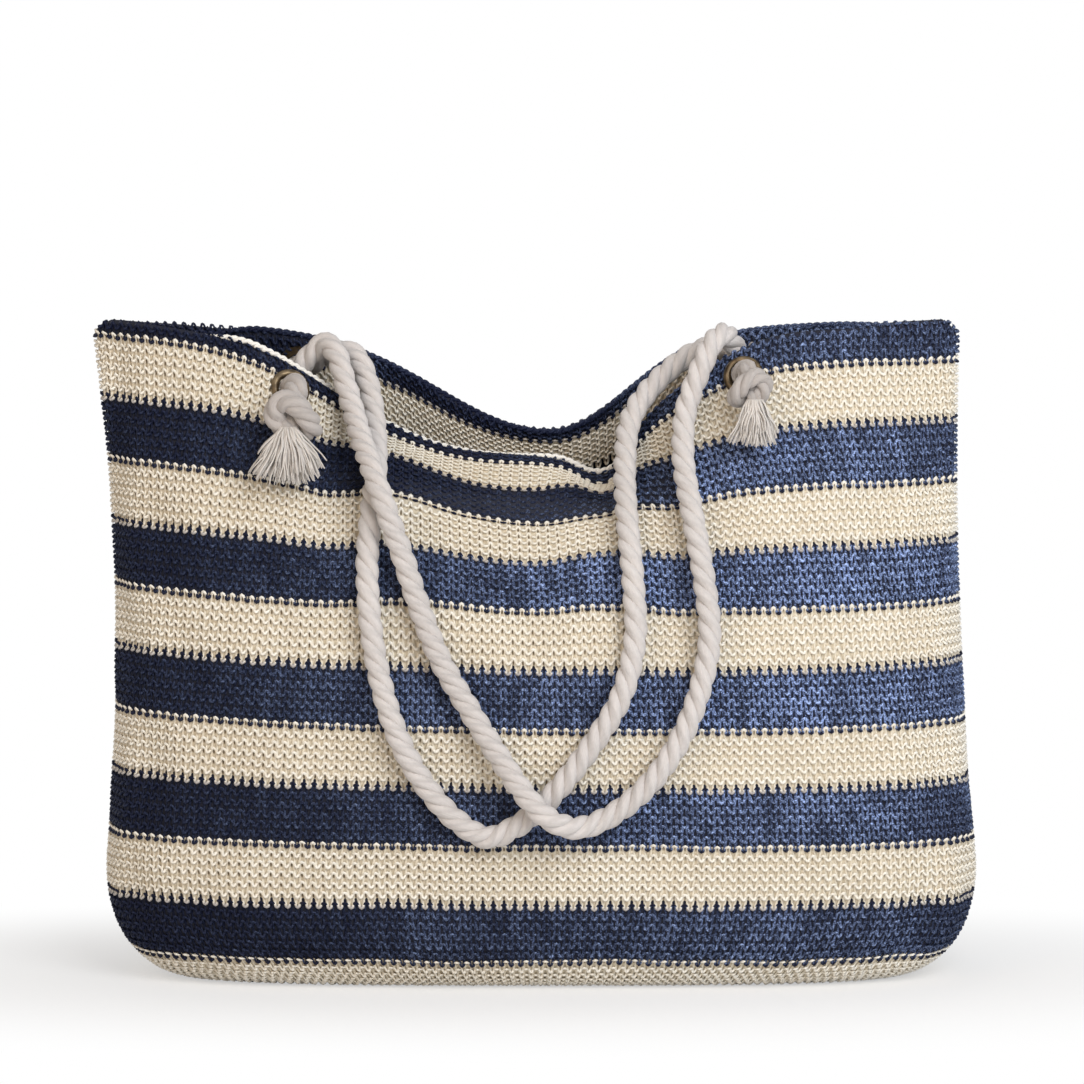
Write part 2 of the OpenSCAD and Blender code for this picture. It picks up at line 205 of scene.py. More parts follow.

# %% [markdown]
# ## The routes of the ropes
# Both handles fell over the front rim, and the front one lies over the rear one twice. Each route is a given
# list of points, the same as in the CAD source, and runs through its two eyelets. A smooth curve
# through the points, with even steps, keeps the twist of the rope even too.

# %% Rope routes
FRONT_ROUTE = [
    (-147, -9, 353), (-141, -4, 362), (-133, -4, 371), (-124, -9, 378), (-117, -17, 371), (-113, -23, 359),
    (-108, -30, 343), (-102, -48, 325), (-94, -70, 306), (-86, -82, 285), (-77, -82, 260), (-66, -82, 226),
    (-54, -88, 197), (-38, -92, 170), (-22, -98, 145), (-7, -107, 124), (6, -110, 110), (24, -102, 102),
    (44, -95, 108), (64, -94, 124), (80, -93, 145), (93, -91, 173), (101, -86, 209), (98, -79, 244),
    (92, -70, 278), (87, -52, 310), (88, -40, 335), (92, -38, 350), (98, -37, 365), (104, -32, 378),
    (111, -23, 384), (117, -12, 379), (122, -9, 369), (126, -13, 360)]
REAR_ROUTE = [
    (-138, 20, 363), (-127, 12, 369), (-116, 3, 373), (-107, -4, 371), (-101, -10, 361), (-97, -15, 347),
    (-94, -25, 327), (-93, -46, 304), (-95, -66, 281), (-97, -74, 253), (-95, -83, 220), (-89, -89, 186),
    (-78, -93, 152), (-62, -93, 124), (-45, -93, 105), (-27, -93, 95), (-10, -94, 102), (4, -94, 113),
    (19, -94, 130), (36, -93, 153), (50, -92, 177), (58, -86, 209), (57, -78, 243), (54, -61, 276),
    (53, -38, 304), (57, -16, 333), (69, -5, 351), (90, 4, 369), (104, 8, 375), (114, 12, 374),
    (119, 17, 368)]
ROPE_STEP, SPAN_POINTS = 2.0, 24
EYELET_RUN = (3, -4, -12)


def along(points, step):
    """Evenly spaced points, step mm apart, on a smooth curve through the given ones, and their distances."""
    p = np.array(points, float)
    p = np.vstack([2 * p[0] - p[1], p, 2 * p[-1] - p[-2]])
    out = []
    for a, b, c, d in zip(p[:-3], p[1:-2], p[2:-1], p[3:]):
        t0 = 0.0
        t1 = t0 + np.linalg.norm(b - a) ** 0.5
        t2 = t1 + np.linalg.norm(c - b) ** 0.5
        t3 = t2 + np.linalg.norm(d - c) ** 0.5
        t = np.linspace(t1, t2, SPAN_POINTS, endpoint=False)[:, None]
        ab = ((t1 - t) * a + (t - t0) * b) / (t1 - t0)
        bc = ((t2 - t) * b + (t - t1) * c) / (t2 - t1)
        cd = ((t3 - t) * c + (t - t2) * d) / (t3 - t2)
        abc = ((t2 - t) * ab + (t - t0) * bc) / (t2 - t0)
        bcd = ((t3 - t) * bc + (t - t1) * cd) / (t3 - t1)
        out.append(((t2 - t) * abc + (t - t1) * bcd) / (t2 - t1))
    line = np.vstack(out + [p[-2:-1]])
    run = np.concatenate([[0], np.cumsum(np.linalg.norm(np.diff(line, axis=0), axis=1))])
    at = np.linspace(0, run[-1], int(run[-1] / step) + 1)
    return np.stack([np.interp(at, run, line[:, k]) for k in range(3)], -1), at


def eyelet_run(side, end):
    """Points of a rope in its eyelet, from the outside in."""
    place, normal = EYELETS[side, end]
    return [place + out * normal for out in EYELET_RUN]


ropes = {}
for side, points in ((FRONT, FRONT_ROUTE), (REAR, REAR_ROUTE)):
    ropes[side] = along(eyelet_run(side, LEFT) + points + eyelet_run(side, RIGHT)[::-1], ROPE_STEP)
    print(SIDES[side], "handle from eyelet to eyelet:", round(ropes[side][1][-1]), "mm")

# %% [markdown]
# ## Meshes from points
# Most pieces here are tubes: strands of rope, threads and loops of yarn. A mesh made straight from rings of
# points gives each of them a UV that runs along and round the strand, which the fibre finish needs and a
# curve's bevel would not give in the same way.


# %% Mesh helpers
def mesh_object(name, points, faces, material=None, uv=None, uv_name="yarn"):
    """A mesh object from points in mm, with a UV for each point."""
    mesh = bpy.data.meshes.new(name)
    mesh.from_pydata((np.asarray(points) * MM).tolist(), [], [tuple(f) for f in faces])
    if uv is not None:
        layer = mesh.uv_layers.new(name=uv_name)
        loops = np.zeros(len(mesh.loops), np.int32)
        mesh.loops.foreach_get("vertex_index", loops)
        layer.data.foreach_set("uv", np.asarray(uv, np.float32)[loops].ravel())
    mesh.polygons.foreach_set("use_smooth", [True] * len(mesh.polygons))
    if material:
        mesh.materials.append(material)
    mesh.validate()
    obj = bpy.data.objects.new(name, mesh)
    bpy.context.collection.objects.link(obj)
    return obj


def strand_uv(run, sides):
    """The UV of a strand: how far along it, and the share of a turn round it."""
    return np.stack(np.broadcast_arrays(run[:, None], np.arange(sides)[None] / sides), -1)


def tubes(name, rings, uvs, material=None, capped=True):
    """One mesh object of several strands, from points sorted by strand, by step along it and by turn."""
    strands, steps, sides = rings.shape[:3]
    faces = []
    for base in range(0, strands * steps * sides, steps * sides):
        last = base + (steps - 1) * sides
        for ring in range(base, last, sides):
            for j in range(sides):
                here, beside = ring + j, ring + (j + 1) % sides
                faces.append((here, beside, beside + sides, here + sides))
        if capped:
            faces.append(tuple(base + j for j in reversed(range(sides))))
            faces.append(tuple(last + j for j in range(sides)))
    return mesh_object(name, rings.reshape(-1, 3), faces, material, uvs.reshape(-1, 2))


print("helpers for meshes are ready")

# %% [markdown]
# ## Winding a rope
# The handles are three-strand cotton rope. A curve with a round bevel would be a smooth hose, so each
# strand is swept on its own along a helix round the rope's middle line. The two directions across the line
# are carried along it without a twist, so all the twist comes from the lay of the strands.

# %% Winding
ROPE_R, ROPE_LAY = 7.0, 34.0
STEEP = 0.9


def carried(line):
    """Two directions across a line that don't twist."""
    way = np.gradient(line, axis=0)
    way /= np.linalg.norm(way, axis=1, keepdims=True)
    n = np.cross(way[0], (0, 0, 1) if abs(way[0][2]) < STEEP else (1, 0, 0))
    first = []
    for t in way:
        n = n - t * (t @ n)
        n = n / np.linalg.norm(n)
        first.append(n)
    return np.array(first), np.cross(way, first)


def wound(line, at, radius, lay, strands=3, sides=10, plump=0.53):
    """Rings and UVs of strands that wind round a line; plump is a strand's share of the rope's radius."""
    n, b = carried(line)
    turn = 2 * np.pi * np.arange(sides) / sides
    reach = radius * (1 - plump)
    rings = []
    for k in range(strands):
        a = (-2 * np.pi * (at / lay + k / strands))[:, None]
        out = np.cos(a) * n + np.sin(a) * b
        middle = line + reach * out
        t = np.gradient(middle, axis=0)
        t /= np.linalg.norm(t, axis=1, keepdims=True)
        out = out - t * np.sum(out * t, axis=1, keepdims=True)
        out /= np.linalg.norm(out, axis=1, keepdims=True)
        across = np.cross(t, out)
        ring = np.cos(turn)[None, :, None] * out[:, None] + np.sin(turn)[None, :, None] * across[:, None]
        rings.append(middle[:, None] + radius * plump * ring)
    return np.array(rings), np.array([strand_uv(at / lay, sides)] * strands)


print("rope", 2 * ROPE_R, "mm thick, one turn in", ROPE_LAY, "mm")

# %% [markdown]
# ## Building node trees
# Materials and Geometry Nodes are both trees of nodes. These helpers add one node each and give back its
# result, so that a tree reads like a sum. An input may be a plain value or the output of another node.


# %% Node helpers
def add(tree, kind, inputs=(), **settings):
    """A node with its settings, and its inputs set or linked by name or number."""
    node = tree.nodes.new(kind)
    for key, value in settings.items():
        setattr(node, key, value)
    for key, value in (inputs.items() if isinstance(inputs, dict) else enumerate(inputs)):
        if isinstance(value, bpy.types.NodeSocket):
            tree.links.new(value, node.inputs[key])
        elif value is not None:
            node.inputs[key].default_value = value
    return node


def maths(tree, operation, *values):
    """The result of a Math node."""
    return add(tree, "ShaderNodeMath", values, operation=operation).outputs[0]


def vectors(tree, operation, *values):
    """The result of a Vector Math node."""
    node = add(tree, "ShaderNodeVectorMath", values, operation=operation)
    return node.outputs["Value" if operation == "LENGTH" else "Vector"]


def scaled(tree, vector, scale):
    """A vector times a number."""
    return add(tree, "ShaderNodeVectorMath", {0: vector, "Scale": scale}, operation="SCALE").outputs[0]


def spread(tree, value, limits, soft=False):
    """A value moved from one range to another; limits are the old range and then the new one."""
    kind = "SMOOTHSTEP" if soft else "LINEAR"
    return add(tree, "ShaderNodeMapRange", [value, *limits], interpolation_type=kind).outputs[0]


def split(tree, vector):
    """The three numbers of a vector."""
    return add(tree, "ShaderNodeSeparateXYZ", [vector]).outputs


def joined(tree, x, y, z=0.0):
    """A vector from three numbers."""
    return add(tree, "ShaderNodeCombineXYZ", [x, y, z]).outputs[0]


def laid_over(tree, factor, under, over, blend_type="MIX"):
    """One colour laid over another by a factor; each is a plain colour or the output of a node."""
    a, b = (c if isinstance(c, bpy.types.NodeSocket) else (*c, 1) for c in (under, over))
    inputs = {"Factor": factor, "A": a, "B": b}
    return add(tree, "ShaderNodeMix", inputs, data_type="RGBA", blend_type=blend_type).outputs["Result"]


def object_place(tree):
    """The place on the bag, in metres."""
    return add(tree, "ShaderNodeTexCoord").outputs["Object"]


def new_group(name, kind, inputs, outputs):
    """A node group with named sockets, and the sockets of its input and of its output node."""
    tree = bpy.data.node_groups.new(name, kind)
    for way, sockets in (("INPUT", inputs), ("OUTPUT", outputs)):
        for label, socket in sockets.items():
            tree.interface.new_socket(label, in_out=way, socket_type="NodeSocket" + socket)
    return tree, tree.nodes.new("NodeGroupInput").outputs, tree.nodes.new("NodeGroupOutput").inputs


print("helpers for nodes are ready")

# %% [markdown]
# ## Fibre
# Yarn, rope and tape are all fibre, so they share two effects that are made once as node groups: fine
# fibre lines that follow each strand's own UV map, and a soft mottling in object space. The lines are
# noise on a ring that is drawn out along the strand, so they have no seam where the UV closes.

# %% Shared fibre effects
MOTTLE_RANGE = (0.3, 0.7, 0.0, 1.0)
fibres, given, made = new_group(
    "Fibre lines", "ShaderNodeTree",
    {"Strand UV": "Vector", "Lines along": "Float", "Lines round": "Float", "Slant": "Float",
     "Depth": "Float"},
    {"Shade": "Float", "Normal": "Vector"})
uv = split(fibres, given["Strand UV"])
slanted = maths(fibres, "MULTIPLY_ADD", uv[0], given["Slant"], uv[1])
turned = maths(fibres, "MULTIPLY", slanted, 2 * math.pi)
ring_x, ring_y = (maths(fibres, "MULTIPLY", maths(fibres, wave, turned), given["Lines round"])
                  for wave in ("COSINE", "SINE"))
place = joined(fibres, ring_x, ring_y, maths(fibres, "MULTIPLY", uv[0], given["Lines along"]))
noise = add(fibres, "ShaderNodeTexNoise", {"Vector": place, "Scale": 1.0, "Detail": 3.0, "Roughness": 0.6})
bump = add(fibres, "ShaderNodeBump", {
    "Height": noise.outputs["Fac"], "Distance": given["Depth"], "Strength": 0.7})
fibres.links.new(noise.outputs["Fac"], made["Shade"])
fibres.links.new(bump.outputs["Normal"], made["Normal"])

mottle, given, made = new_group("Mottling", "ShaderNodeTree", {"Fine": "Float", "Broad": "Float"},
                                {"Fine shade": "Float", "Broad shade": "Float"})
place = object_place(mottle)
for label in ("Fine", "Broad"):
    noise = add(mottle, "ShaderNodeTexNoise", {"Vector": place, "Scale": given[label], "Detail": 2.0})
    mottle.links.new(spread(mottle, noise.outputs["Fac"], MOTTLE_RANGE), made[label + " shade"])
print("node groups:", [g.name for g in bpy.data.node_groups])

# %% [markdown]
# ## Painted light on the navy
# The navy yarn's colour carries painted light and shade: nearly black on the left, a lively blue of painted
# sheen on the right and in the middle of the height, and dark again in painted shade at the right end and
# under the slumped rim. Painting that by hand would need an image, so it is a product of a few soft ranges
# over the place on the bag, with blotches.

# %% Painted light on the navy
# Painted light: brighter across to the right, and painted shade at the top and bottom, under the slump and at
# the right end
PAINTED_LIGHT_ACROSS, PAINTED_SHADE_FAR_END = (-0.24, 0.14, 0.18, 2.8), (0.20, 0.26, 1.0, 0.5)
PAINTED_LIGHT_MIDDLE, PAINTED_LIGHT_UPRIGHT = 0.22, (0.06, 0.18, 1.0, 0.45)
SLUMP_SHIFT, SLUMP_SCALE, SLUMP_SHADE = (0.02, 0.0, -0.315), (10.0, 0.0, 22.0), (0.7, 1.5, 0.15, 1.0)
BLOTCH_SCALE, BLOTCH_RANGE = 22.0, (0.35, 0.65, 0.75, 1.25)
navy_light_paint, _, made = new_group("Painted light on navy", "ShaderNodeTree", {}, {"Fade": "Float"})
everywhere = object_place(navy_light_paint)
place = split(navy_light_paint, everywhere)
from_middle = maths(navy_light_paint, "ABSOLUTE", maths(navy_light_paint, "SUBTRACT", place[2], PAINTED_LIGHT_MIDDLE))
off_slump = vectors(navy_light_paint, "MULTIPLY", vectors(navy_light_paint, "ADD", everywhere, SLUMP_SHIFT), SLUMP_SCALE)
blotches = add(navy_light_paint, "ShaderNodeTexNoise", {"Vector": everywhere, "Scale": BLOTCH_SCALE, "Detail": 1.0})
painted_light = spread(navy_light_paint, place[0], PAINTED_LIGHT_ACROSS, soft=True)
for factor in (spread(navy_light_paint, from_middle, PAINTED_LIGHT_UPRIGHT, soft=True),
               spread(navy_light_paint, vectors(navy_light_paint, "LENGTH", off_slump), SLUMP_SHADE, soft=True),
               spread(navy_light_paint, place[0], PAINTED_SHADE_FAR_END, soft=True),
               spread(navy_light_paint, blotches.outputs["Fac"], BLOTCH_RANGE)):
    painted_light = maths(navy_light_paint, "MULTIPLY", painted_light, factor)
navy_light_paint.links.new(painted_light, made["Fade"])
print("node group", navy_light_paint.name, len(navy_light_paint.nodes), "nodes")

# %% [markdown]
# ## Yarn and cotton
# The knit is shiny paper yarn in cream and navy, and the rope is dull cotton, darker in the knots. Each
# material mixes its own two colours by the shared effects. Yarn also takes a random shade from each stitch,
# and coats of colour where the knitting tree marks it: painted shade where it lies deep, painted shade in the
# holes of the cream, and painted shade where loops reach into the next stripe, on the cream with a grey tint
# from the navy too. What is the same all over is set on the shader.

# %% Fibre materials
SHEEN_ROUGHNESS = 0.5


def attribute(tree, name):
    """A value that the mesh keeps for each of its points."""
    return add(tree, "ShaderNodeAttribute", attribute_name=name).outputs["Fac"]


def fibre_material(name, dark, light, lines, slant, depth, mix, scales, roughness, gloss, sheen=0.0,
                   uv_name="yarn", fleck_and_glint_power=None, coats=()):
    """Two colours mixed by fibre lines, fine and broad mottling and, with a fourth share, a random shade for
    each stitch. Flecks, partly melange and partly painted glints, sharpen that mix and take the painted light
    on the navy, and coats are colours laid on where an attribute says, mostly painted shade."""
    material = bpy.data.materials.new(name)
    material.use_nodes = True
    tree = material.node_tree
    shader = tree.nodes["Principled BSDF"]
    strand = add(tree, "ShaderNodeUVMap", uv_map=uv_name).outputs[0]
    lined = add(tree, "ShaderNodeGroup", {
        "Strand UV": strand, "Lines along": lines[0], "Lines round": lines[1], "Slant": slant,
        "Depth": depth}, node_tree=fibres)
    spots = add(tree, "ShaderNodeGroup", {"Fine": scales[0], "Broad": scales[1]}, node_tree=mottle)
    parts = [lined.outputs["Shade"], spots.outputs["Fine shade"], spots.outputs["Broad shade"]]
    if len(mix) > len(parts):
        parts.append(attribute(tree, "shade"))
    total = 0.0
    for part, share in zip(parts, mix):
        total = maths(tree, "MULTIPLY_ADD", part, share, total)
    if fleck_and_glint_power:
        painted_level = add(tree, "ShaderNodeGroup", node_tree=navy_light_paint).outputs["Fade"]
        total = maths(tree, "MULTIPLY", maths(tree, "POWER", total, fleck_and_glint_power), painted_level)
    colour = laid_over(tree, total, dark, light)
    for label, blend_type, coat in coats:
        colour = laid_over(tree, attribute(tree, label), colour, coat, blend_type)
    tree.links.new(colour, shader.inputs["Base Color"])
    tree.links.new(lined.outputs["Normal"], shader.inputs["Normal"])
    shader.inputs["Roughness"].default_value = roughness
    shader.inputs["Sheen Weight"].default_value = sheen
    shader.inputs["Sheen Roughness"].default_value = SHEEN_ROUGHNESS
    shader.inputs["Specular IOR Level"].default_value = gloss
    return material


YARN = {"lines": (3.0, 2.2), "slant": 1.5, "depth": 0.0003}
ROPE = {"lines": (2.0, 5.0), "slant": -1.0, "depth": 0.0005, "mix": (0.6, 0.15, 0.25), "scales": (500, 16),
        "roughness": 0.8, "gloss": 0.2, "sheen": 0.2}
# Painted shade: near-black for navy loops that reach into the cream stripes beside them
STRIPE_EDGE_SHADE = (0.010, 0.012, 0.030)
# Cream coats are painted shade, and at the feet partly painted shade and partly a grey tint from the navy
cream_yarn = fibre_material(
    "cream paper yarn", (0.77, 0.70, 0.58), (0.97, 0.95, 0.88), mix=(0.3, 0.15, 0.25, 0.3), scales=(700, 14),
    roughness=0.4, gloss=0.5, **YARN,
    coats=(("sunk", "MULTIPLY", (0.87, 0.82, 0.73)), ("hole", "MULTIPLY", (0.42, 0.33, 0.23)),
           ("foot", "MIX", (0.40, 0.37, 0.35))))
# Navy: its light flecks are partly melange and partly painted glints, under the painted light
navy_yarn = fibre_material(
    "navy paper yarn", (0.004, 0.006, 0.024), (0.45, 0.60, 1.0), mix=(0.35, 0.5, 0.0, 0.2), scales=(1100, 14),
    roughness=0.5, gloss=0.12, **YARN, fleck_and_glint_power=3.2,
    coats=(("sunk", "MULTIPLY", (0.46, 0.48, 0.56)), ("foot", "MIX", STRIPE_EDGE_SHADE),
           ("head", "MIX", STRIPE_EDGE_SHADE)))
rim_cotton = fibre_material(
    "rim cotton", (0.80, 0.76, 0.69), (0.96, 0.94, 0.89), mix=(0.4, 0.2, 0.4), scales=(700, 14),
    roughness=0.6, gloss=0.3, **YARN)
rope_cotton = fibre_material("rope cotton", (0.47, 0.44, 0.42), (0.71, 0.67, 0.65), **ROPE)
knot_cotton = fibre_material("knot cotton", (0.34, 0.31, 0.29), (0.53, 0.49, 0.465), **ROPE)
frayed_cotton = fibre_material(
    "frayed cotton", (0.52, 0.48, 0.44), (0.73, 0.69, 0.65), lines=(1.0, 2.0), slant=0.3, depth=0.0002,
    mix=(0.5, 0.25, 0.25), scales=(400, 60), roughness=0.85, gloss=0.2, sheen=0.2)
tape_cotton = fibre_material(
    "seam tape", (0.46, 0.40, 0.31), (0.66, 0.59, 0.48), lines=(40.0, 6.0), slant=0.0, depth=0.0003,
    mix=(0.6, 0.2, 0.2), scales=(600, 20), roughness=0.85, gloss=0.2, sheen=0.1, uv_name="knit")
print("materials:", [m.name for m in bpy.data.materials])

# %% [markdown]
# ## The handles
# The rope of each handle bends over the rim at both ends. One mesh can bend over one place only, so each
# handle is two lengths, cut where the rope is clear of both bends. Both come from one winding, so the
# strands match.

# %% Handle ropes
# Where each bend starts, and the way to its end
BEND = {(FRONT, LEFT): ((-136, -4, 371), (15, 0, 0)), (FRONT, RIGHT): ((120, -9, 372), (-7.2, 0, 3.6)),
        (REAR, LEFT): ((-127, 12, 369), (27, -24, -19)), (REAR, RIGHT): ((119, 17, 368), (-27, -12, 1))}
CUT = {FRONT: (92, -38, 350), REAR: (-27, -93, 95)}
for side in SIDES:
    line, at = ropes[side]
    rings, uvs = wound(line, at, ROPE_R, ROPE_LAY)
    half = int(np.argmin(np.linalg.norm(line - CUT[side], axis=1)))
    for end, keep in ((LEFT, slice(0, half + 1)), (RIGHT, slice(half, len(line)))):
        name = f"{SIDES[side]}_rope_{ENDS[end]}"
        rope = tubes(name, rings[:, keep], uvs[:, keep], rope_cotton, capped=False)
        start, way = (np.array(v, float) for v in BEND[side, end])
        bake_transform(rope)
        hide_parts(f"{SIDES[side]}_loop", f"{SIDES[side]}_{ENDS[end]}_bend")
        print(name, len(rope.data.polygons), "faces,", round(float(at[keep][-1] - at[keep][0])), "mm")

# %% [markdown]
# ## Knots
# Outside each eyelet the rope is tied in an overhand knot, so that it can't slip back. A lump with a twisted
# texture would look false from the side, so the knot is the same rope on a line that crosses over itself,
# pulled tighter on one knot than on another.

# %% Overhand knots
KNOT = {(FRONT, LEFT): (-140, -56, 338), (FRONT, RIGHT): (125, -58, 354),
        (REAR, LEFT): (-144, 67, 348), (REAR, RIGHT): (123, 67, 348)}
KNOT_LINE = [(1, -5, 15), (2, -7, 7), (-2, -5, -1), (-7, 1, -8), (-12, 3, -2), (-11, 5, 6), (-4, 8, 9),
             (4, 9, 4), (10, 6, -4), (11, -1, -10), (4, -6, -9), (-3, -4, -5), (-4, 3, -9), (-2, 4, -16)]
# The rope's radius in each knot, and the size of the knot
TIED = {(FRONT, LEFT): (6.8, 0.9), (FRONT, RIGHT): (5.4, 0.7),
        (REAR, LEFT): (5.5, 0.85), (REAR, RIGHT): (5.5, 0.85)}
KNOT_STEP, KNOT_LAY = 1.5, 0.85 * ROPE_LAY
OUT_OF_EYELET = (1, 7)
for (side, end), middle in KNOT.items():
    eyelet, normal = EYELETS[side, end]
    radius, scale = TIED[side, end]
    tied = [np.add(middle, scale * np.array([-end * x, side * out, z])) for x, out, z in KNOT_LINE]
    line, at = along([eyelet + out * normal for out in OUT_OF_EYELET] + tied, KNOT_STEP)
    name = f"{SIDES[side]}_{ENDS[end]}"
    knot = tubes(name + "_overhand", *wound(line, at, radius, KNOT_LAY), knot_cotton)
    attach(knot, "bag")
    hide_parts(name + "_end", name + "_knot")
    print(knot.name, "rope in the knot", round(float(at[-1])), "mm")

# %% [markdown]
# ## Running Geometry Nodes
# What repeats, such as threads and stitches, is laid out by a Geometry Nodes tree. A tree runs as a modifier
# on an empty mesh, its inputs are set before it is first evaluated, and the result is copied into a plain
# mesh, because an exported part can't carry the tree.


# %% Geometry Nodes helpers
def geometry_tree(name, inputs):
    """A Geometry Nodes tree with named inputs and one geometry output."""
    return new_group(name, "GeometryNodeTree", inputs, {"Geometry": "Geometry"})


def chance(tree, seed, low=0.0, high=1.0):
    """A random number or vector for each point, between two limits."""
    kind = "FLOAT_VECTOR" if isinstance(high, tuple) else "FLOAT"
    limits = {"Min": low, "Max": high, "Seed": seed}
    return add(tree, "FunctionNodeRandomValue", limits, data_type=kind).outputs["Value"]


def shape_of(tree, item):
    """The mesh of an object that is an input of the tree."""
    return add(tree, "GeometryNodeObjectInfo", {"Object": item}).outputs["Geometry"]


def run_tree(tree, name, values):
    """A plain mesh object, made by one run of a Geometry Nodes tree with the values given by input name."""
    carrier = bpy.data.objects.new(name + "_carrier", bpy.data.meshes.new(name + "_carrier"))
    bpy.context.collection.objects.link(carrier)
    modifier = carrier.modifiers.new("made", "NODES")
    modifier.node_group = tree
    sockets = {item.name: item.identifier for item in tree.interface.items_tree if item.in_out == "INPUT"}
    for key, value in values.items():
        modifier[sockets[key]] = value
    graph = bpy.context.evaluated_depsgraph_get()
    mesh = bpy.data.meshes.new_from_object(carrier.evaluated_get(graph), depsgraph=graph)
    mesh.name = name
    piece = bpy.data.objects.new(name, mesh)
    bpy.context.collection.objects.link(piece)
    bpy.data.objects.remove(carrier)
    return piece


print("helpers for Geometry Nodes are ready")

# %% [markdown]
# ## Combing out the rope's end
# Under each knot the rope's end is combed out into threads. They start close together in the neck, lean out
# by their place in it, more to the sides than to the front, and stray a little. A hair system would do this
# too, but a tree of points and instances gives plain meshes and keeps its seed.

# %% The fan of threads
STRAY, SPIN = (0.22, 0.12, 0), 6.3
SHORTEST, LONGEST = (1, 1, 0.62), (1, 1, 1.08)
PLACE_SEED, STRAY_SEED = 50.0, 90.0
fan, given, made = geometry_tree("Frayed end", {
    "Thread": "Object", "Count": "Int", "Neck": "Float", "Width": "Float", "Thickness": "Float",
    "Seed": "Int", "Material": "Material"})
seed = given["Seed"]
roots = add(fan, "GeometryNodePoints", {"Count": given["Count"]}).outputs[0]
turn = chance(fan, seed, 0.0, 2 * math.pi)
radius = maths(fan, "POWER", chance(fan, maths(fan, "ADD", seed, PLACE_SEED)), 0.5)
disc_x, disc_y = (maths(fan, "MULTIPLY", maths(fan, wave, turn), radius) for wave in ("COSINE", "SINE"))
neck = scaled(fan, joined(fan, disc_x, disc_y), given["Neck"])
placed = add(fan, "GeometryNodeSetPosition", {"Geometry": roots, "Position": neck}).outputs[0]
lean = joined(fan, maths(fan, "MULTIPLY", disc_x, given["Width"]),
              maths(fan, "MULTIPLY", disc_y, given["Thickness"]), -1.0)
stray = chance(fan, maths(fan, "ADD", seed, STRAY_SEED), tuple(-way for way in STRAY), STRAY)
aim = add(fan, "FunctionNodeAlignRotationToVector", {"Vector": vectors(fan, "ADD", lean, stray)}, axis="Z")
turned = add(fan, "FunctionNodeRotateRotation", {
    "Rotation": aim.outputs["Rotation"], "Rotate By": chance(fan, seed, (0, 0, 0), (0, 0, SPIN))},
    rotation_space="LOCAL")
threads = add(fan, "GeometryNodeInstanceOnPoints", {
    "Points": placed, "Instance": shape_of(fan, given["Thread"]), "Rotation": turned.outputs[0],
    "Scale": chance(fan, seed, SHORTEST, LONGEST)})
real = add(fan, "GeometryNodeRealizeInstances", [threads.outputs[0]]).outputs[0]
coloured = add(fan, "GeometryNodeSetMaterial", {"Geometry": real, "Material": given["Material"]})
fan.links.new(coloured.outputs[0], made["Geometry"])
print("tree", fan.name, len(fan.nodes), "nodes")

# %% [markdown]
# ## Tassels
# One thread is a thin tube that bows and tapers, with few faces, because each tassel has 320 of them. The
# tree fans it out, and each tassel gets its own width, length and seed. The left front one is spread wide
# and the right front one hangs nearly closed, as in the photograph.

# %% Tassels
THREAD_L, THREAD_R, THREADS = 32.0, 0.75, 320
THREAD_POINTS, THREAD_SIDES = 7, 4
BOW, BOW_TURN, WIGGLE, WIGGLE_TURN, TAPER = 2.6, 2.4, 0.8, 8, 0.45
NECK_R, FAN_THICK, FAN_OUT = 4.5, 0.25, 0.14
ROOT, FIRST_SEED = (3, 6, -7), 3
# The width of each tassel at its end, and its length for a length of 1
TASSEL = {(FRONT, LEFT): (46, 1.0), (FRONT, RIGHT): (12, 0.8),
          (REAR, LEFT): (28, 0.9), (REAR, RIGHT): (28, 0.9)}
rise = np.linspace(0, 1, THREAD_POINTS)
bowed = np.stack([BOW * np.sin(BOW_TURN * rise) * rise, WIGGLE * np.sin(WIGGLE_TURN * rise),
                  THREAD_L * rise], -1)
turns = 2 * np.pi * np.arange(THREAD_SIDES) / THREAD_SIDES
slim = THREAD_R * (1 - TAPER * rise)
rings = bowed[:, None] + slim[:, None, None] * np.stack([np.cos(turns), np.sin(turns), 0 * turns], -1)[None]
thread_shape = tubes("thread_shape", rings[None], strand_uv(rise, THREAD_SIDES))
for number, ((side, end), middle) in enumerate(KNOT.items()):
    width, length = TASSEL[side, end]
    name = f"{SIDES[side]}_{ENDS[end]}"
    tassel = run_tree(fan, name + "_frayed", {
        "Thread": thread_shape, "Count": THREADS, "Neck": NECK_R * MM, "Width": 0.5 * width / THREAD_L,
        "Thickness": FAN_THICK, "Seed": FIRST_SEED + number, "Material": frayed_cotton})
    root = Vector(np.add(middle, np.multiply(ROOT, (end, side, 1))) * MM)
    for vertex in tassel.data.vertices:
        vertex.co.z *= length
        vertex.co += root + Vector((0, side * FAN_OUT * -vertex.co.z, 0))
    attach(tassel, "bag")
    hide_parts(name + "_tassel")
    print(tassel.name, len(tassel.data.polygons), "faces")
bpy.data.objects.remove(thread_shape)

# %% [markdown]

# %% [markdown]
# ## The rows of the knit
# Each wall is one knitted sheet, 98 stitches wide and 78 rows long, in stripes of six rows. The last rows
# fold over the rim and go down inside as the hem, so the stripe at the rim shows on both sides. Faint waves
# keep the cloth from looking ironed, the side seams draw the rim down at its corners, and the rows are drawn
# up at both ends of the mouth.

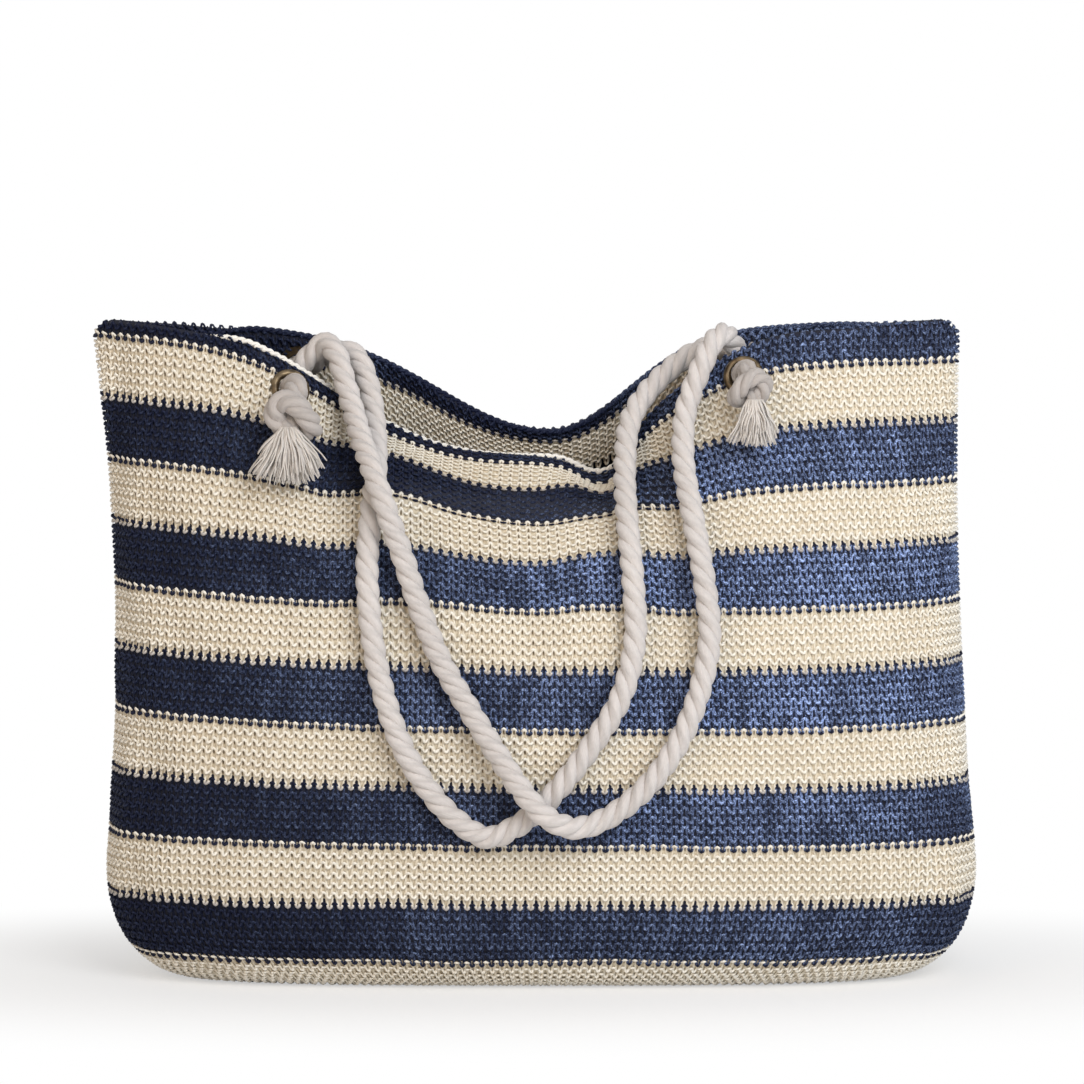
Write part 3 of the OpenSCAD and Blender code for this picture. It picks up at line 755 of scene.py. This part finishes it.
# %% Knit rule
COLUMNS, ROWS, STRIPE, MARGIN = 98, 78, 6, 1
RIM_STRIPE, RIM_ROWS = 11, 5
STRIPE_H, ROW_START = 37.3, 1.0
ROW_H = STRIPE_H / STRIPE
DEPTH, FOLD_R = 2.0, 1.75
WAVE_SEED, WAVE_COUNT = 11, 9
WAVE_H, WAVE_UNIT, HALF_ROW = 0.42, 100, 300
EYELET_CALM, BASE_CALM, SEAM_CALM = (14, 40), (10, 60), (0, 0.12)
CORNER_DIP, CORNER_FROM, CORNER_WIDE = 7, 0.955, 0.045
# How far the rows are pulled up at each end of the mouth, and where that grows and where it fades
PULLS = ((15, (-0.5, -0.32), (-0.02, -0.3)), (12, (0.0, 0.14), (0.34, 0.2)))
PULL_STRIPE, PULL_REACH, PULL_OVER = 10, 170, 1.1
# Each wave's number across and up for each unit of length, and its start
WAVE_ACROSS, WAVE_UP, WAVE_START = (0.5, 2.2), (-1.8, 1.8), (0, 6.3)
draw = np.random.default_rng(WAVE_SEED)
WAVES = [(draw.uniform(*WAVE_ACROSS), draw.uniform(*WAVE_UP), draw.uniform(*WAVE_START))
         for _ in range(WAVE_COUNT)]


def ripple(side, u, s):
    """Soft waves of the cloth, in mm, that die away at the base, the seams and the eyelets."""
    x, y = HALF_ROW * u / WAVE_UNIT, s / WAVE_UNIT
    total = sum(np.sin(2 * np.pi * (a * x * side + b * y) + c) for a, b, c in WAVES) * WAVE_H
    at = wall(side, np.clip(u, -1, 1), s)
    near = 1.0
    for end in ENDS:
        near = near * smooth(*EYELET_CALM, np.linalg.norm(at - EYELETS[side, end][0], axis=-1))
    return total * near * smooth(*BASE_CALM, s) * smooth(*SEAM_CALM, 1 - np.abs(u))


def corner_dip(u):
    """How far the rim is drawn down where the side seams gather it, in mm."""
    q = np.abs(np.sin(np.pi / 2 * u))
    return CORNER_DIP * np.clip((q - CORNER_FROM) / CORNER_WIDE, 0, 1) ** 2


def drawn_up(u, v):
    """How far the rows under the front rim are pulled up at both ends of the mouth, in mm."""
    q = np.sin(np.pi / 2 * u)
    pull = sum(height * smooth(*grows, q) * smooth(*fades, q) for height, grows, fades in PULLS)
    edge = ROW_START + PULL_STRIPE * STRIPE * ROW_H
    return pull * smooth(edge - PULL_REACH, edge, v) * smooth(edge + PULL_OVER * STRIPE * ROW_H, edge, v)


def knit_sheet(side, u, v):
    """Points and outward normals of the sheet at column u and length v, over the rim and down inside."""
    if side == FRONT:
        v = v + drawn_up(u, v)
    rim = rim_s(np.sin(np.pi / 2 * u)) - corner_dip(u) - FOLD_R
    over = np.clip((v - rim) / FOLD_R, 0, np.pi)
    s = np.where(v < rim, v, rim - np.maximum(0, v - rim - np.pi * FOLD_R))
    p, n, up = frame_at(side, u, np.maximum(s, 0))
    p = p + np.minimum(s, 0)[..., None] * up
    outward = np.cos(over)[..., None] * n + np.sin(over)[..., None] * up
    p = p - (DEPTH + FOLD_R + ripple(side, u, np.maximum(s, 0))[..., None]) * n + FOLD_R * outward
    return p, outward


print("row", round(ROW_H, 2), "mm high,", COLUMNS, "stitches x", ROWS, "rows")

# %% [markdown]
# ## The knit as a surface
# The rule becomes a fine grid whose UV map counts stitches and rows, with the outward direction kept at
# each point. Columns are spaced by length of yarn, since every stitch of a row is as wide as its
# neighbours. This grid is only a chart for the stitches and is removed at the end.

# %% Knit surfaces
ROW_STEPS, COLUMN_STEPS, FINE_COLUMNS = 6, 2, 401


def even_columns(side, v, count):
    """Columns u that split each row of the wall into equal lengths of yarn."""
    fine = np.linspace(-1, 1, FINE_COLUMNS)
    u = np.empty((len(v), count))
    for i, s in enumerate(np.clip(v, 1, rim_s(-1))):
        step = np.linalg.norm(np.diff(wall(side, fine, s), axis=0), axis=1)
        run = np.concatenate([[0], np.cumsum(step)])
        u[i] = np.interp(np.linspace(0, run[-1], count), run, fine)
    return u


def grid_faces(rows, columns):
    """Quads of a grid of points, row by row."""
    i, j = np.meshgrid(np.arange(rows - 1), np.arange(columns - 1), indexing="ij")
    a = (i * columns + j).ravel()
    return np.stack([a, a + 1, a + columns + 1, a + columns], -1)


def grid_uv(rows, columns, low=0.0, high=1.0):
    """A UV that runs over a grid of points, with its rows between two values."""
    return np.stack(np.meshgrid(np.linspace(0, 1, columns), np.linspace(low, high, rows)), -1).reshape(-1, 2)


def knit_surface(name, points, normals):
    """A chart for the knitting tree: a grid of points with a UV and an outward direction."""
    rows, columns = points.shape[:2]
    uv = grid_uv(rows, columns)
    surface = mesh_object(name, points.reshape(-1, 3), grid_faces(rows, columns), None, uv, "knit")
    store = surface.data.attributes.new("nrm", "FLOAT_VECTOR", "POINT")
    store.data.foreach_set("vector", normals.astype(np.float32).ravel())
    return surface


knit_surfaces = {}
for side in SIDES:
    v = ROW_START + ROW_H * np.linspace(-MARGIN, ROWS + MARGIN, (ROWS + 2 * MARGIN) * ROW_STEPS + 1)
    u = even_columns(side, v, COLUMNS * COLUMN_STEPS + 1)[:, ::-side]
    points, normals = knit_sheet(side, u, np.broadcast_to(v[:, None], u.shape))
    surface = knit_surface(f"{SIDES[side]}_knit_surface", points, normals)
    knit_surfaces[side] = surface, points, normals
    width = np.sum(np.linalg.norm(np.diff(points[len(v) // 2], axis=0), axis=1))
    print(surface.name, points.shape[:2], "points, half way up", round(float(width)), "mm wide")

# %% [markdown]
# ## One stitch
# The bag shows the purl side of its knit: a loop's narrow head and wide foot arch forward, its two legs lie
# behind, and the heads of one row and the feet of the next make a wavy line. One stitch is swept along that
# loop, in knit units: x counts stitches, y counts rows and z is the height off the sheet in metres. It has
# few faces, since the bag takes about sixteen thousand of them.

# %% Stitch shape
GAUGE = 6.2
RISE, NARROW, SQUARE = 0.77, 0.02, 0.07
LIFT, LIFT_POWER = 1.15, 0.7
YARN_HALF, FOOT_MORE, YARN_THICK = 1.05, 0.05, 0.8
YARN_SIDES, YARN_TURN = 4, 0.25
BEND_STEPS = (0.45, 0.9)
quarter = np.array([*BEND_STEPS, np.pi / 2, np.pi - BEND_STEPS[1], np.pi - BEND_STEPS[0], np.pi])
t = np.concatenate([-quarter[::-1], [0], quarter])
loop_x = t / (2 * np.pi) - NARROW * np.sin(t) + SQUARE * np.sin(2 * t)
loop_y = RISE * np.cos(t)
loop_z = LIFT * np.sign(np.cos(2 * t)) * np.abs(np.cos(2 * t)) ** LIFT_POWER
slope = 1 / (2 * np.pi) - NARROW * np.cos(t) + 2 * SQUARE * np.cos(2 * t)
way = np.stack([slope * GAUGE, -RISE * np.sin(t) * ROW_H], -1)
way /= np.linalg.norm(way, axis=1, keepdims=True)
turns = 2 * np.pi * (np.arange(YARN_SIDES) + YARN_TURN) / YARN_SIDES
aside = (YARN_HALF - FOOT_MORE * np.cos(t))[:, None] * np.cos(turns)
height = loop_z[:, None] + YARN_THICK * np.sin(turns)
rings = np.stack([loop_x[:, None] - way[:, 1:] * aside / GAUGE, loop_y[:, None] + way[:, :1] * aside / ROW_H,
                  height * MM], -1)
yarn_uv = strand_uv(np.arange(len(t)) / (len(t) - 1), YARN_SIDES)
stitch = tubes("stitch", rings[None] / MM, yarn_uv, capped=False)
print("stitch:", len(stitch.data.polygons), "faces")

# %% [markdown]
# ## Laying the stitches
# Geometry Nodes lays the stitches on a flat grid in knit units, gives each a random shade and welds each to
# its neighbours. A row of loops could also be one long curve, but single stitches keep their own shade and
# the same tree serves the walls and the base.

# %% The knitting tree, laying
WELD = 1e-4


def stored(tree, geometry, name, value, kind="FLOAT", domain="POINT"):
    """The geometry with a value kept on it by name."""
    inputs = {"Geometry": geometry, "Name": name, "Value": value}
    return add(tree, "GeometryNodeStoreNamedAttribute", inputs, data_type=kind, domain=domain).outputs[0]


knitting, given, made = geometry_tree("Knitting", {
    "Surface": "Object", "Stitch": "Object", "Columns": "Int", "First row": "Int", "Rows": "Int",
    "Total rows": "Int", "Unevenness": "Float", "Seed": "Int", "Material": "Material"})
columns, rows, first = (given[label] for label in ("Columns", "Rows", "First row"))
places = add(knitting, "GeometryNodeMeshGrid", {
    "Size X": maths(knitting, "SUBTRACT", columns, 1.0), "Size Y": maths(knitting, "SUBTRACT", rows, 1.0),
    "Vertices X": columns, "Vertices Y": rows}).outputs["Mesh"]
middle = joined(knitting, maths(knitting, "MULTIPLY", columns, 0.5),
                maths(knitting, "MULTIPLY_ADD", rows, 0.5, first))
shifted = add(knitting, "GeometryNodeTransform", {"Geometry": places, "Translation": middle}).outputs[0]
worked = add(knitting, "GeometryNodeInstanceOnPoints", {
    "Points": shifted, "Instance": shape_of(knitting, given["Stitch"])}).outputs[0]
shaded = stored(knitting, worked, "shade", chance(knitting, given["Seed"]), domain="INSTANCE")
real = add(knitting, "GeometryNodeRealizeInstances", [shaded]).outputs[0]
fabric = add(knitting, "GeometryNodeMergeByDistance", {"Geometry": real, "Distance": WELD}).outputs[0]
print("tree", knitting.name, len(knitting.nodes), "nodes for laying")

# %% [markdown]
# ## Bending the rows onto the sheet
# Each point of the flat knit looks up the point of the sheet with the same UV and goes there, plus its own
# height along the outward direction. Before that, soft noise pulls the yarn about, because hand work is
# never even.

# %% The knitting tree, bending
PULL_SCALE, PULL_HEIGHT = 0.75, 0.003
here = add(knitting, "GeometryNodeInputPosition").outputs[0]
flat = split(knitting, here)
noise = add(knitting, "ShaderNodeTexNoise", {"Vector": here, "Scale": PULL_SCALE, "Detail": 1.0})
wander = [maths(knitting, "SUBTRACT", value, 0.5) for value in split(knitting, noise.outputs["Color"])]
uneven = given["Unevenness"]
pulled_x, pulled_y = (maths(knitting, "MULTIPLY_ADD", wander[k], uneven, flat[k]) for k in (0, 1))
pulled_out = maths(knitting, "MULTIPLY", uneven, PULL_HEIGHT)
raised = maths(knitting, "MULTIPLY_ADD", wander[2], pulled_out, flat[2])
across = maths(knitting, "MAXIMUM", maths(knitting, "DIVIDE", pulled_x, columns), 0.0)
all_rows = maths(knitting, "ADD", given["Total rows"], 2.0 * MARGIN)
upward = maths(knitting, "DIVIDE", maths(knitting, "ADD", pulled_y, float(MARGIN)), all_rows)
spot = joined(knitting, maths(knitting, "MINIMUM", across, 1.0), upward)
sheet = shape_of(knitting, given["Surface"])
chart, outward = (
    add(knitting, "GeometryNodeInputNamedAttribute", {"Name": name},
        data_type="FLOAT_VECTOR").outputs["Attribute"] for name in ("knit", "nrm"))
on_sheet, sheet_out = (
    add(knitting, "GeometryNodeSampleUVSurface", [sheet, value, chart, spot],
        data_type="FLOAT_VECTOR").outputs["Value"] for value in (here, outward))
bent_to = vectors(knitting, "ADD", on_sheet, scaled(knitting, sheet_out, raised))
print("tree", knitting.name, len(knitting.nodes), "nodes with bending")

# %% [markdown]
# ## Marking the yarn
# The finish of the yarn needs to know where on its loop it is. The tree keeps four marks on the mesh, which
# the materials turn mostly into painted shade: the feet below the first row and the heads above the last,
# which lie on the next stripe, how deep the yarn lies, and the small holes under the heads, whose painted
# shade grows weaker towards the right of the bag. It also keeps a second UV that has no overlaps, for baking.

# %% The knitting tree, marks
# Painted shade: the depths that dim the yarn, and the small holes' shade that weakens to the right
EDGE, SUNK_SHADE_RANGE = 0.02, (0.001, -0.0009, 0.0, 1.0)
HOLE_AT, HOLE_EDGE, HOLE_SHADE_FALLOFF = 0.85, (0.10, 0.25, 1.0, 0.0), (0.0, 0.14, 1.0, 0.35)


def hole_shade_mask(tree, column, row, bag_x):
    """Painted shade: 1 in the small hole under each stitch's head and 0 elsewhere, weaker to the right of the
    bag.
    """
    in_column = maths(tree, "SUBTRACT", maths(tree, "FRACT", column), 0.5)
    in_row = maths(tree, "SUBTRACT", maths(tree, "FRACT", maths(tree, "SUBTRACT", row, HOLE_AT - 0.5)), 0.5)
    away = vectors(tree, "LENGTH", joined(tree, in_column, in_row))
    return maths(tree, "MULTIPLY", spread(tree, away, HOLE_EDGE), spread(tree, bag_x, HOLE_SHADE_FALLOFF))


from_first = maths(knitting, "SUBTRACT", flat[1], first)
# How deep the yarn lies and the holes under its heads, which the materials turn into painted shade
depth = spread(knitting, flat[2], SUNK_SHADE_RANGE)
hole = hole_shade_mask(knitting, flat[0], flat[1], split(knitting, on_sheet)[0])
marks = {"foot": maths(knitting, "LESS_THAN", from_first, -EDGE),
         "head": maths(knitting, "GREATER_THAN", from_first, maths(knitting, "ADD", rows, EDGE)),
         "sunk": depth,
         "hole": maths(knitting, "MULTIPLY", hole, depth)}
for name, value in marks.items():
    fabric = stored(knitting, fabric, name, value)
bake_rows = maths(knitting, "ADD", rows, 1.0)
bake_v = maths(knitting, "DIVIDE", maths(knitting, "ADD", from_first, 0.5), bake_rows)
bake_at = joined(knitting, maths(knitting, "DIVIDE", flat[0], columns), bake_v)
fabric = stored(knitting, fabric, "OFBake", bake_at, "FLOAT2", "CORNER")
bent = add(knitting, "GeometryNodeSetPosition", {"Geometry": fabric, "Position": bent_to}).outputs[0]
rounded = add(knitting, "GeometryNodeSetShadeSmooth", {"Geometry": bent, "Shade Smooth": True}).outputs[0]
coloured = add(knitting, "GeometryNodeSetMaterial", {"Geometry": rounded, "Material": given["Material"]})
knitting.links.new(coloured.outputs[0], made["Geometry"])
print("tree", knitting.name, len(knitting.nodes), "nodes")

# %% [markdown]
# ## Stripes
# Cream and navy take turns, six rows each, up to the rim. The stripe at the rim has five rows and the rest
# of the sheet is the hem inside. One band of colour is one run of the tree, so a stripe is a piece that can
# be repainted.

# %% Stripes
UNEVEN, STRIPE_SEED = 0.25, 20
stripes = {FRONT: [], REAR: []}
starts = [number * STRIPE for number in range(RIM_STRIPE + 1)] + [RIM_STRIPE * STRIPE + RIM_ROWS, ROWS]
for side in SIDES:
    for number, (row, after) in enumerate(zip(starts, starts[1:])):
        piece = run_tree(knitting, f"{SIDES[side]}_stripe_{number:02d}", {
            "Surface": knit_surfaces[side][0], "Stitch": stitch, "Columns": COLUMNS, "First row": row,
            "Rows": after - row, "Total rows": ROWS, "Unevenness": UNEVEN,
            "Seed": STRIPE_SEED + number * 2 + side, "Material": navy_yarn if number % 2 else cream_yarn})
        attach(piece, "bag")
        stripes[side].append(piece)
    faces = sum(len(piece.data.polygons) for piece in stripes[side])
    print(SIDES[side], len(stripes[side]), "stripes,", faces, "faces")

# %% [markdown]
# ## The finish of the ground
# Real yarn fills the sheet behind each loop, and what shows between the loops is that yarn in shadow. It has
# the same stripes, much darker, counted on the UV. The upper edge of each navy stripe is scalloped, because
# it follows the feet of the cream loops above it, and the cream has the same painted shade in its holes.

# %% Ground material
GROUND_CREAM = (0.50, 0.42, 0.30), (0.72, 0.64, 0.51)
GROUND_NAVY = (0.003, 0.004, 0.010), (0.012, 0.014, 0.032)
HOLE_SHADE_COLOUR = (0.16, 0.12, 0.07)
HEM_BACK, NAVY_FROM = 3.0, 1.2
SCALLOP, SCALLOP_AT = 0.4, 1.25
shadow = bpy.data.materials.new("yarn in shadow")
shadow.use_nodes = True
tree = shadow.node_tree
uv = split(tree, add(tree, "ShaderNodeUVMap", uv_map="knit").outputs[0])
row = maths(tree, "MULTIPLY_ADD", uv[1], float(ROWS + 2 * MARGIN), -float(MARGIN))
past_rim = maths(tree, "GREATER_THAN", row, RIM_STRIPE * STRIPE + RIM_ROWS - HEM_BACK)
counted = maths(tree, "MULTIPLY_ADD", past_rim, float(STRIPE - RIM_ROWS), row)
in_pair = maths(tree, "FLOORED_MODULO", maths(tree, "ADD", counted, 1.0), 2.0 * STRIPE)
swing = maths(tree, "COSINE", maths(tree, "MULTIPLY", uv[0], 2 * math.pi * COLUMNS))
under = maths(tree, "LESS_THAN", in_pair, maths(tree, "MULTIPLY_ADD", swing, -SCALLOP, SCALLOP_AT))
is_navy = maths(tree, "MAXIMUM", under, maths(tree, "GREATER_THAN", in_pair, STRIPE + NAVY_FROM))
tone = add(tree, "ShaderNodeGroup", {"Fine": 500}, node_tree=mottle).outputs["Fine shade"]
cream = laid_over(tree, tone, *GROUND_CREAM)
navy = laid_over(tree, tone, *GROUND_NAVY)
column = maths(tree, "MULTIPLY", uv[0], float(COLUMNS))
hole = hole_shade_mask(tree, column, row, split(tree, object_place(tree))[0])
# Painted shade in the small holes of the cream ground
hole_shaded = laid_over(tree, hole, cream, HOLE_SHADE_COLOUR)
shader = tree.nodes["Principled BSDF"]
tree.links.new(laid_over(tree, is_navy, hole_shaded, navy), shader.inputs["Base Color"])
shader.inputs["Roughness"].default_value = 0.9
print("material", shadow.name)

# %% [markdown]
# ## The ground behind the loops
# A thin closed sheet on the same grid stands for the yarn behind the loops, and it is the piece that
# replaces the plain CAD walls and hems. It lies a little deeper than the loops, but comes up over the top
# of the rim, where the loops spread apart.

# %% Ground sheets
GROUND_LOW, GROUND_HIGH, RIM_RISE = -1.2, -0.8, 1.6


def closed_sheet(name, points, normals, low, high, material, uv_rows=(0.0, 1.0)):
    """A thin closed sheet between two heights off a grid of points, with a UV that runs over the grid."""
    rows, columns = points.shape[:2]
    both = np.concatenate([(points + level * normals).reshape(-1, 3) for level in (high, low)])
    count = rows * columns
    top = grid_faces(rows, columns)
    edge = np.concatenate([
        np.arange(columns), np.arange(1, rows) * columns + columns - 1,
        (rows - 1) * columns + np.arange(columns - 2, -1, -1), np.arange(rows - 2, 0, -1) * columns])
    after = np.roll(edge, -1)
    rim = np.stack([edge, edge + count, after + count, after], -1)
    faces = np.concatenate([top, top[:, ::-1] + count, rim])
    uv = grid_uv(rows, columns, *uv_rows)
    return mesh_object(name, both, faces, material, np.concatenate([uv, uv]), "knit")


inner = slice(ROW_STEPS * MARGIN, ROW_STEPS * (ROWS + MARGIN) + 1, ROW_STEPS // 2)
inner_uv = (MARGIN / (ROWS + 2 * MARGIN), (ROWS + MARGIN) / (ROWS + 2 * MARGIN))
for side in SIDES:
    surface, points, normals = knit_surfaces[side]
    spots = points[inner, ::COLUMN_STEPS]
    ways = normals[inner, ::COLUMN_STEPS]
    high = GROUND_HIGH + RIM_RISE * np.clip(2 * ways[..., 2:] - 1, 0, 1)
    ground = closed_sheet(f"{SIDES[side]}_ground", spots, ways, GROUND_LOW, high, shadow, inner_uv)
    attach(ground, "bag")
    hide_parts(f"{SIDES[side]}_panel", f"{SIDES[side]}_hem")
    print(ground.name, len(ground.data.polygons), "faces")

# %% [markdown]
# ## Base
# The base is a flat knitted panel in cream that the walls turn up from. Its outline is the foot of the wall
# rule, so no gap opens at the turn, and the same tree knits it. Its ground reads one cream row of the
# finish all over.

# %% Base knit
BASE_COLUMNS, BASE_ROWS, BASE_STEPS = 66, 16, 2
BASE_REACH, BASE_UNEVEN, BASE_SEED, CREAM_ROW = 0.985, 0.2, 90, 0.03
xi = np.linspace(-BASE_REACH, BASE_REACH, BASE_COLUMNS * BASE_STEPS + 1)
half_d = BASE_D * (1 - np.abs(xi) ** FOOT_POWER) ** (1 / FOOT_POWER)
past = 1 + 2 * MARGIN / BASE_ROWS


def base_grid(reach, rows):
    """Points half way up the base panel's thickness, and their way out, for rows from back to front."""
    y = np.linspace(reach, -reach, rows * BASE_STEPS + 1)[:, None] * half_d[None]
    x = np.broadcast_to(through(0.0, LEANS) + BASE_W * xi, y.shape)
    points = np.stack([x, y, np.full_like(y, DEPTH)], -1)
    return points, np.zeros_like(points) - (0, 0, 1)


base_surface = knit_surface("base_knit_surface", *base_grid(past, BASE_ROWS + 2 * MARGIN))
base_knit = run_tree(knitting, "base_stitches", {
    "Surface": base_surface, "Stitch": stitch, "Columns": BASE_COLUMNS, "First row": 0, "Rows": BASE_ROWS,
    "Total rows": BASE_ROWS, "Unevenness": BASE_UNEVEN, "Seed": BASE_SEED, "Material": cream_yarn})
base_ground = closed_sheet("base_ground", *base_grid(1, BASE_ROWS), GROUND_LOW, GROUND_HIGH, shadow,
                           (CREAM_ROW, CREAM_ROW))
for piece in (base_knit, base_ground):
    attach(piece, "bag")
    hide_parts("base_panel")
print(base_knit.name, len(base_knit.data.polygons), "faces")
for helper in [surface for surface, _, _ in knit_surfaces.values()] + [base_surface, stitch]:
    bpy.data.objects.remove(helper)

# %% [markdown]
# ## Rim yarn
# A two-ply yarn finishes each rim, cream in front and navy behind. It is the rope function again with two
# thin strands. It shows along the mouth and is tucked in behind the rim towards both seams.

# %% Rim yarn
RIM_R, RIM_LAY, RIM_STEP = 2.1, 9.0, 1.2
RIM_END, RIM_POINTS, RIM_BACK = 0.95, 160, 0.4
TUCK_LEFT, TUCK_IN, TUCK_DOWN = (0.42, 0.54), 2, 5
# The yarn of each rim, its height over the rim, and where it goes under on the right
RIM = {FRONT: (rim_cotton, 2.5, (0.1, 0.2)), REAR: (navy_yarn, 0.8, (0.5, 0.8))}
for side, (material, lift, tuck_right) in RIM.items():
    u = np.linspace(-RIM_END, RIM_END, RIM_POINTS)
    tucked = np.maximum(smooth(*TUCK_LEFT, -u), smooth(*tuck_right, u))[:, None]
    p, n, up = frame_at(side, u, rim_s(np.sin(np.pi / 2 * u)))
    back = DEPTH + FOLD_R + RIM_BACK + TUCK_IN * tucked
    over = lift - TUCK_DOWN * tucked - corner_dip(u)[:, None]
    line, at = along(p - back * n + over * up, RIM_STEP)
    rings, uvs = wound(line, at, RIM_R, RIM_LAY, strands=2, sides=6, plump=0.58)
    rim = tubes(f"{SIDES[side]}_rim_yarn", rings, uvs, material)
    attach(rim, "bag")
    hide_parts(f"{SIDES[side]}_edging")
    print(rim.name, len(rim.data.polygons), "faces,", round(float(at[-1])), "mm")

# %% [markdown]
# ## Seam tapes
# A cotton tape covers each side seam inside, from above the foot to below the hem. It is a narrow closed
# sheet on the inner side of the wall rule, so it follows the round of the seam, and its weave runs along it.

# %% Seam tapes
TAPE_IN, TAPE_HALF, TAPE_THICK = 5.0, 0.03, 1.0
TAPE_LOW, TAPE_DOWN, TAPE_ROWS, TAPE_COLUMNS = 70.0, 66, 90, 9
for end in ENDS:
    s = np.linspace(TAPE_LOW, rim_s(end) - TAPE_DOWN, TAPE_ROWS)[:, None]
    u = end + np.linspace(-TAPE_HALF, TAPE_HALF, TAPE_COLUMNS)[None] * np.ones_like(s)
    p, n, _ = frame_at(FRONT, u, np.broadcast_to(s, u.shape))
    half = TAPE_THICK / 2
    tape = closed_sheet(f"{ENDS[end]}_tape", p - TAPE_IN * n, n, -half, half, tape_cotton)
    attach(tape, "bag")
    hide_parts(f"{ENDS[end]}_seam_tape")
    print(tape.name, len(tape.data.polygons), "faces")

# %% [markdown]
# ## The cloth's flat size
# Each knitted wall is a sheet of known flat size, which is printed here.

# %% Cloth facts
print("walls cut to", round(COLUMNS * GAUGE), "x", round(ROWS * ROW_H), "mm")

# %% [markdown]
# ## Bronze eyelets
# The eyelets and their washers keep their CAD shapes, which are exact. Aged bronze is a metal whose colour
# changes in soft patches and whose gloss changes in finer ones, so both come from the shared mottling.

# %% Bronze
BRONZE, BRONZE_GLOSS = ((0.06, 0.045, 0.03), (0.24, 0.18, 0.11)), (0.0, 1.0, 0.28, 0.5)
bronze = bpy.data.materials.new("aged bronze")
bronze.use_nodes = True
tree = bronze.node_tree
shader = tree.nodes["Principled BSDF"]
tone = add(tree, "ShaderNodeGroup", {"Fine": 900, "Broad": 180}, node_tree=mottle)
patina = laid_over(tree, tone.outputs["Broad shade"], *BRONZE)
tree.links.new(patina, shader.inputs["Base Color"])
tree.links.new(spread(tree, tone.outputs["Fine shade"], BRONZE_GLOSS), shader.inputs["Roughness"])
shader.inputs["Metallic"].default_value = 1.0
for name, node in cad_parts.items():
    if name.endswith(("eyelet", "washer")):
        node.data.materials.clear()
        node.data.materials.append(bronze)
        print("bronze:", name)

# %% [markdown]
# ## Floor
# The floor is white to the camera, so the picture has a white ground, but close to the bag it goes over into
# plain white paper that takes the bag's shadow. Metal sees the same white, through glossy rays.

# %% Floor
FLOOR_HALF = 6
SHADOW_SHAPE, SHADOW_RANGE = (0.4, 1.0, 1.0), (0.1, 0.26, 0.5, 1.0)


def seen_directly(tree):
    """1 for a ray of the camera, of a mirror or of glass, and 0 for the light that falls on the bag."""
    rays = add(tree, "ShaderNodeLightPath").outputs
    seen = maths(tree, "MAXIMUM", rays["Is Camera Ray"], rays["Is Glossy Ray"])
    return maths(tree, "MAXIMUM", seen, rays["Is Transmission Ray"])


corners = np.array([(-1, -1, 0), (1, -1, 0), (1, 1, 0), (-1, 1, 0)]) * FLOOR_HALF
floor = mesh_object("floor", corners / MM, [(0, 1, 2, 3)])
paper = bpy.data.materials.new("white paper")
paper.use_nodes = True
tree = paper.node_tree
shader = tree.nodes["Principled BSDF"]
shader.inputs["Base Color"].default_value = (0.92, 0.92, 0.92, 1)
shader.inputs["Roughness"].default_value = 0.9
glow = add(tree, "ShaderNodeEmission", {"Color": (1, 1, 1, 1), "Strength": 1.0})
away = vectors(tree, "LENGTH", vectors(tree, "MULTIPLY", object_place(tree), SHADOW_SHAPE))
white = maths(tree, "MULTIPLY", seen_directly(tree), spread(tree, away, SHADOW_RANGE, soft=True))
surface = add(tree, "ShaderNodeMixShader", [white, shader.outputs[0], glow.outputs[0]])
tree.links.new(surface.outputs[0], tree.nodes["Material Output"].inputs["Surface"])
floor.data.materials.append(paper)
print("floor", 2 * FLOOR_HALF, "m wide")

# %% [markdown]
# ## Light
# A large soft light stands to the right of the camera, a weaker warm one fills from the left, and the world
# adds an even level. The world is also white where it is seen directly. The colours are shown as they are,
# with the plain view transform.

# %% Studio light
WORLD_LEVEL = 0.46


def soft_light(name, place, aim, size, power, colour):
    """A square soft lamp that looks at an aim."""
    light = bpy.data.objects.new(name, bpy.data.lights.new(name, "AREA"))
    light.data.size = size
    light.data.energy = power
    light.data.color = colour
    light.location = place
    light.rotation_euler = facing(place, aim)
    bpy.context.collection.objects.link(light)
    print(name, power, "W")


soft_light("key", place=(0.6, -1.3, 0.95), aim=(0.1, 0, 0.18), size=1.0, power=18.5, colour=(0.97, 0.98, 1.0))
soft_light("fill", place=(-1.4, -2.0, 1.2), aim=(0, 0, 0.2), size=1.6, power=10, colour=(1, 0.64, 0.30))
world = bpy.data.worlds.new("studio")
bpy.context.scene.world = world
world.use_nodes = True
tree = world.node_tree
tree.nodes.clear()
level = spread(tree, seen_directly(tree), (0.0, 1.0, WORLD_LEVEL, 1.0))
even = add(tree, "ShaderNodeBackground", {"Color": (1, 1, 1, 1), "Strength": level})
add(tree, "ShaderNodeOutputWorld", [even.outputs[0]])
bpy.context.scene.view_settings.view_transform = "Standard"
print("view transform", bpy.context.scene.view_settings.view_transform)
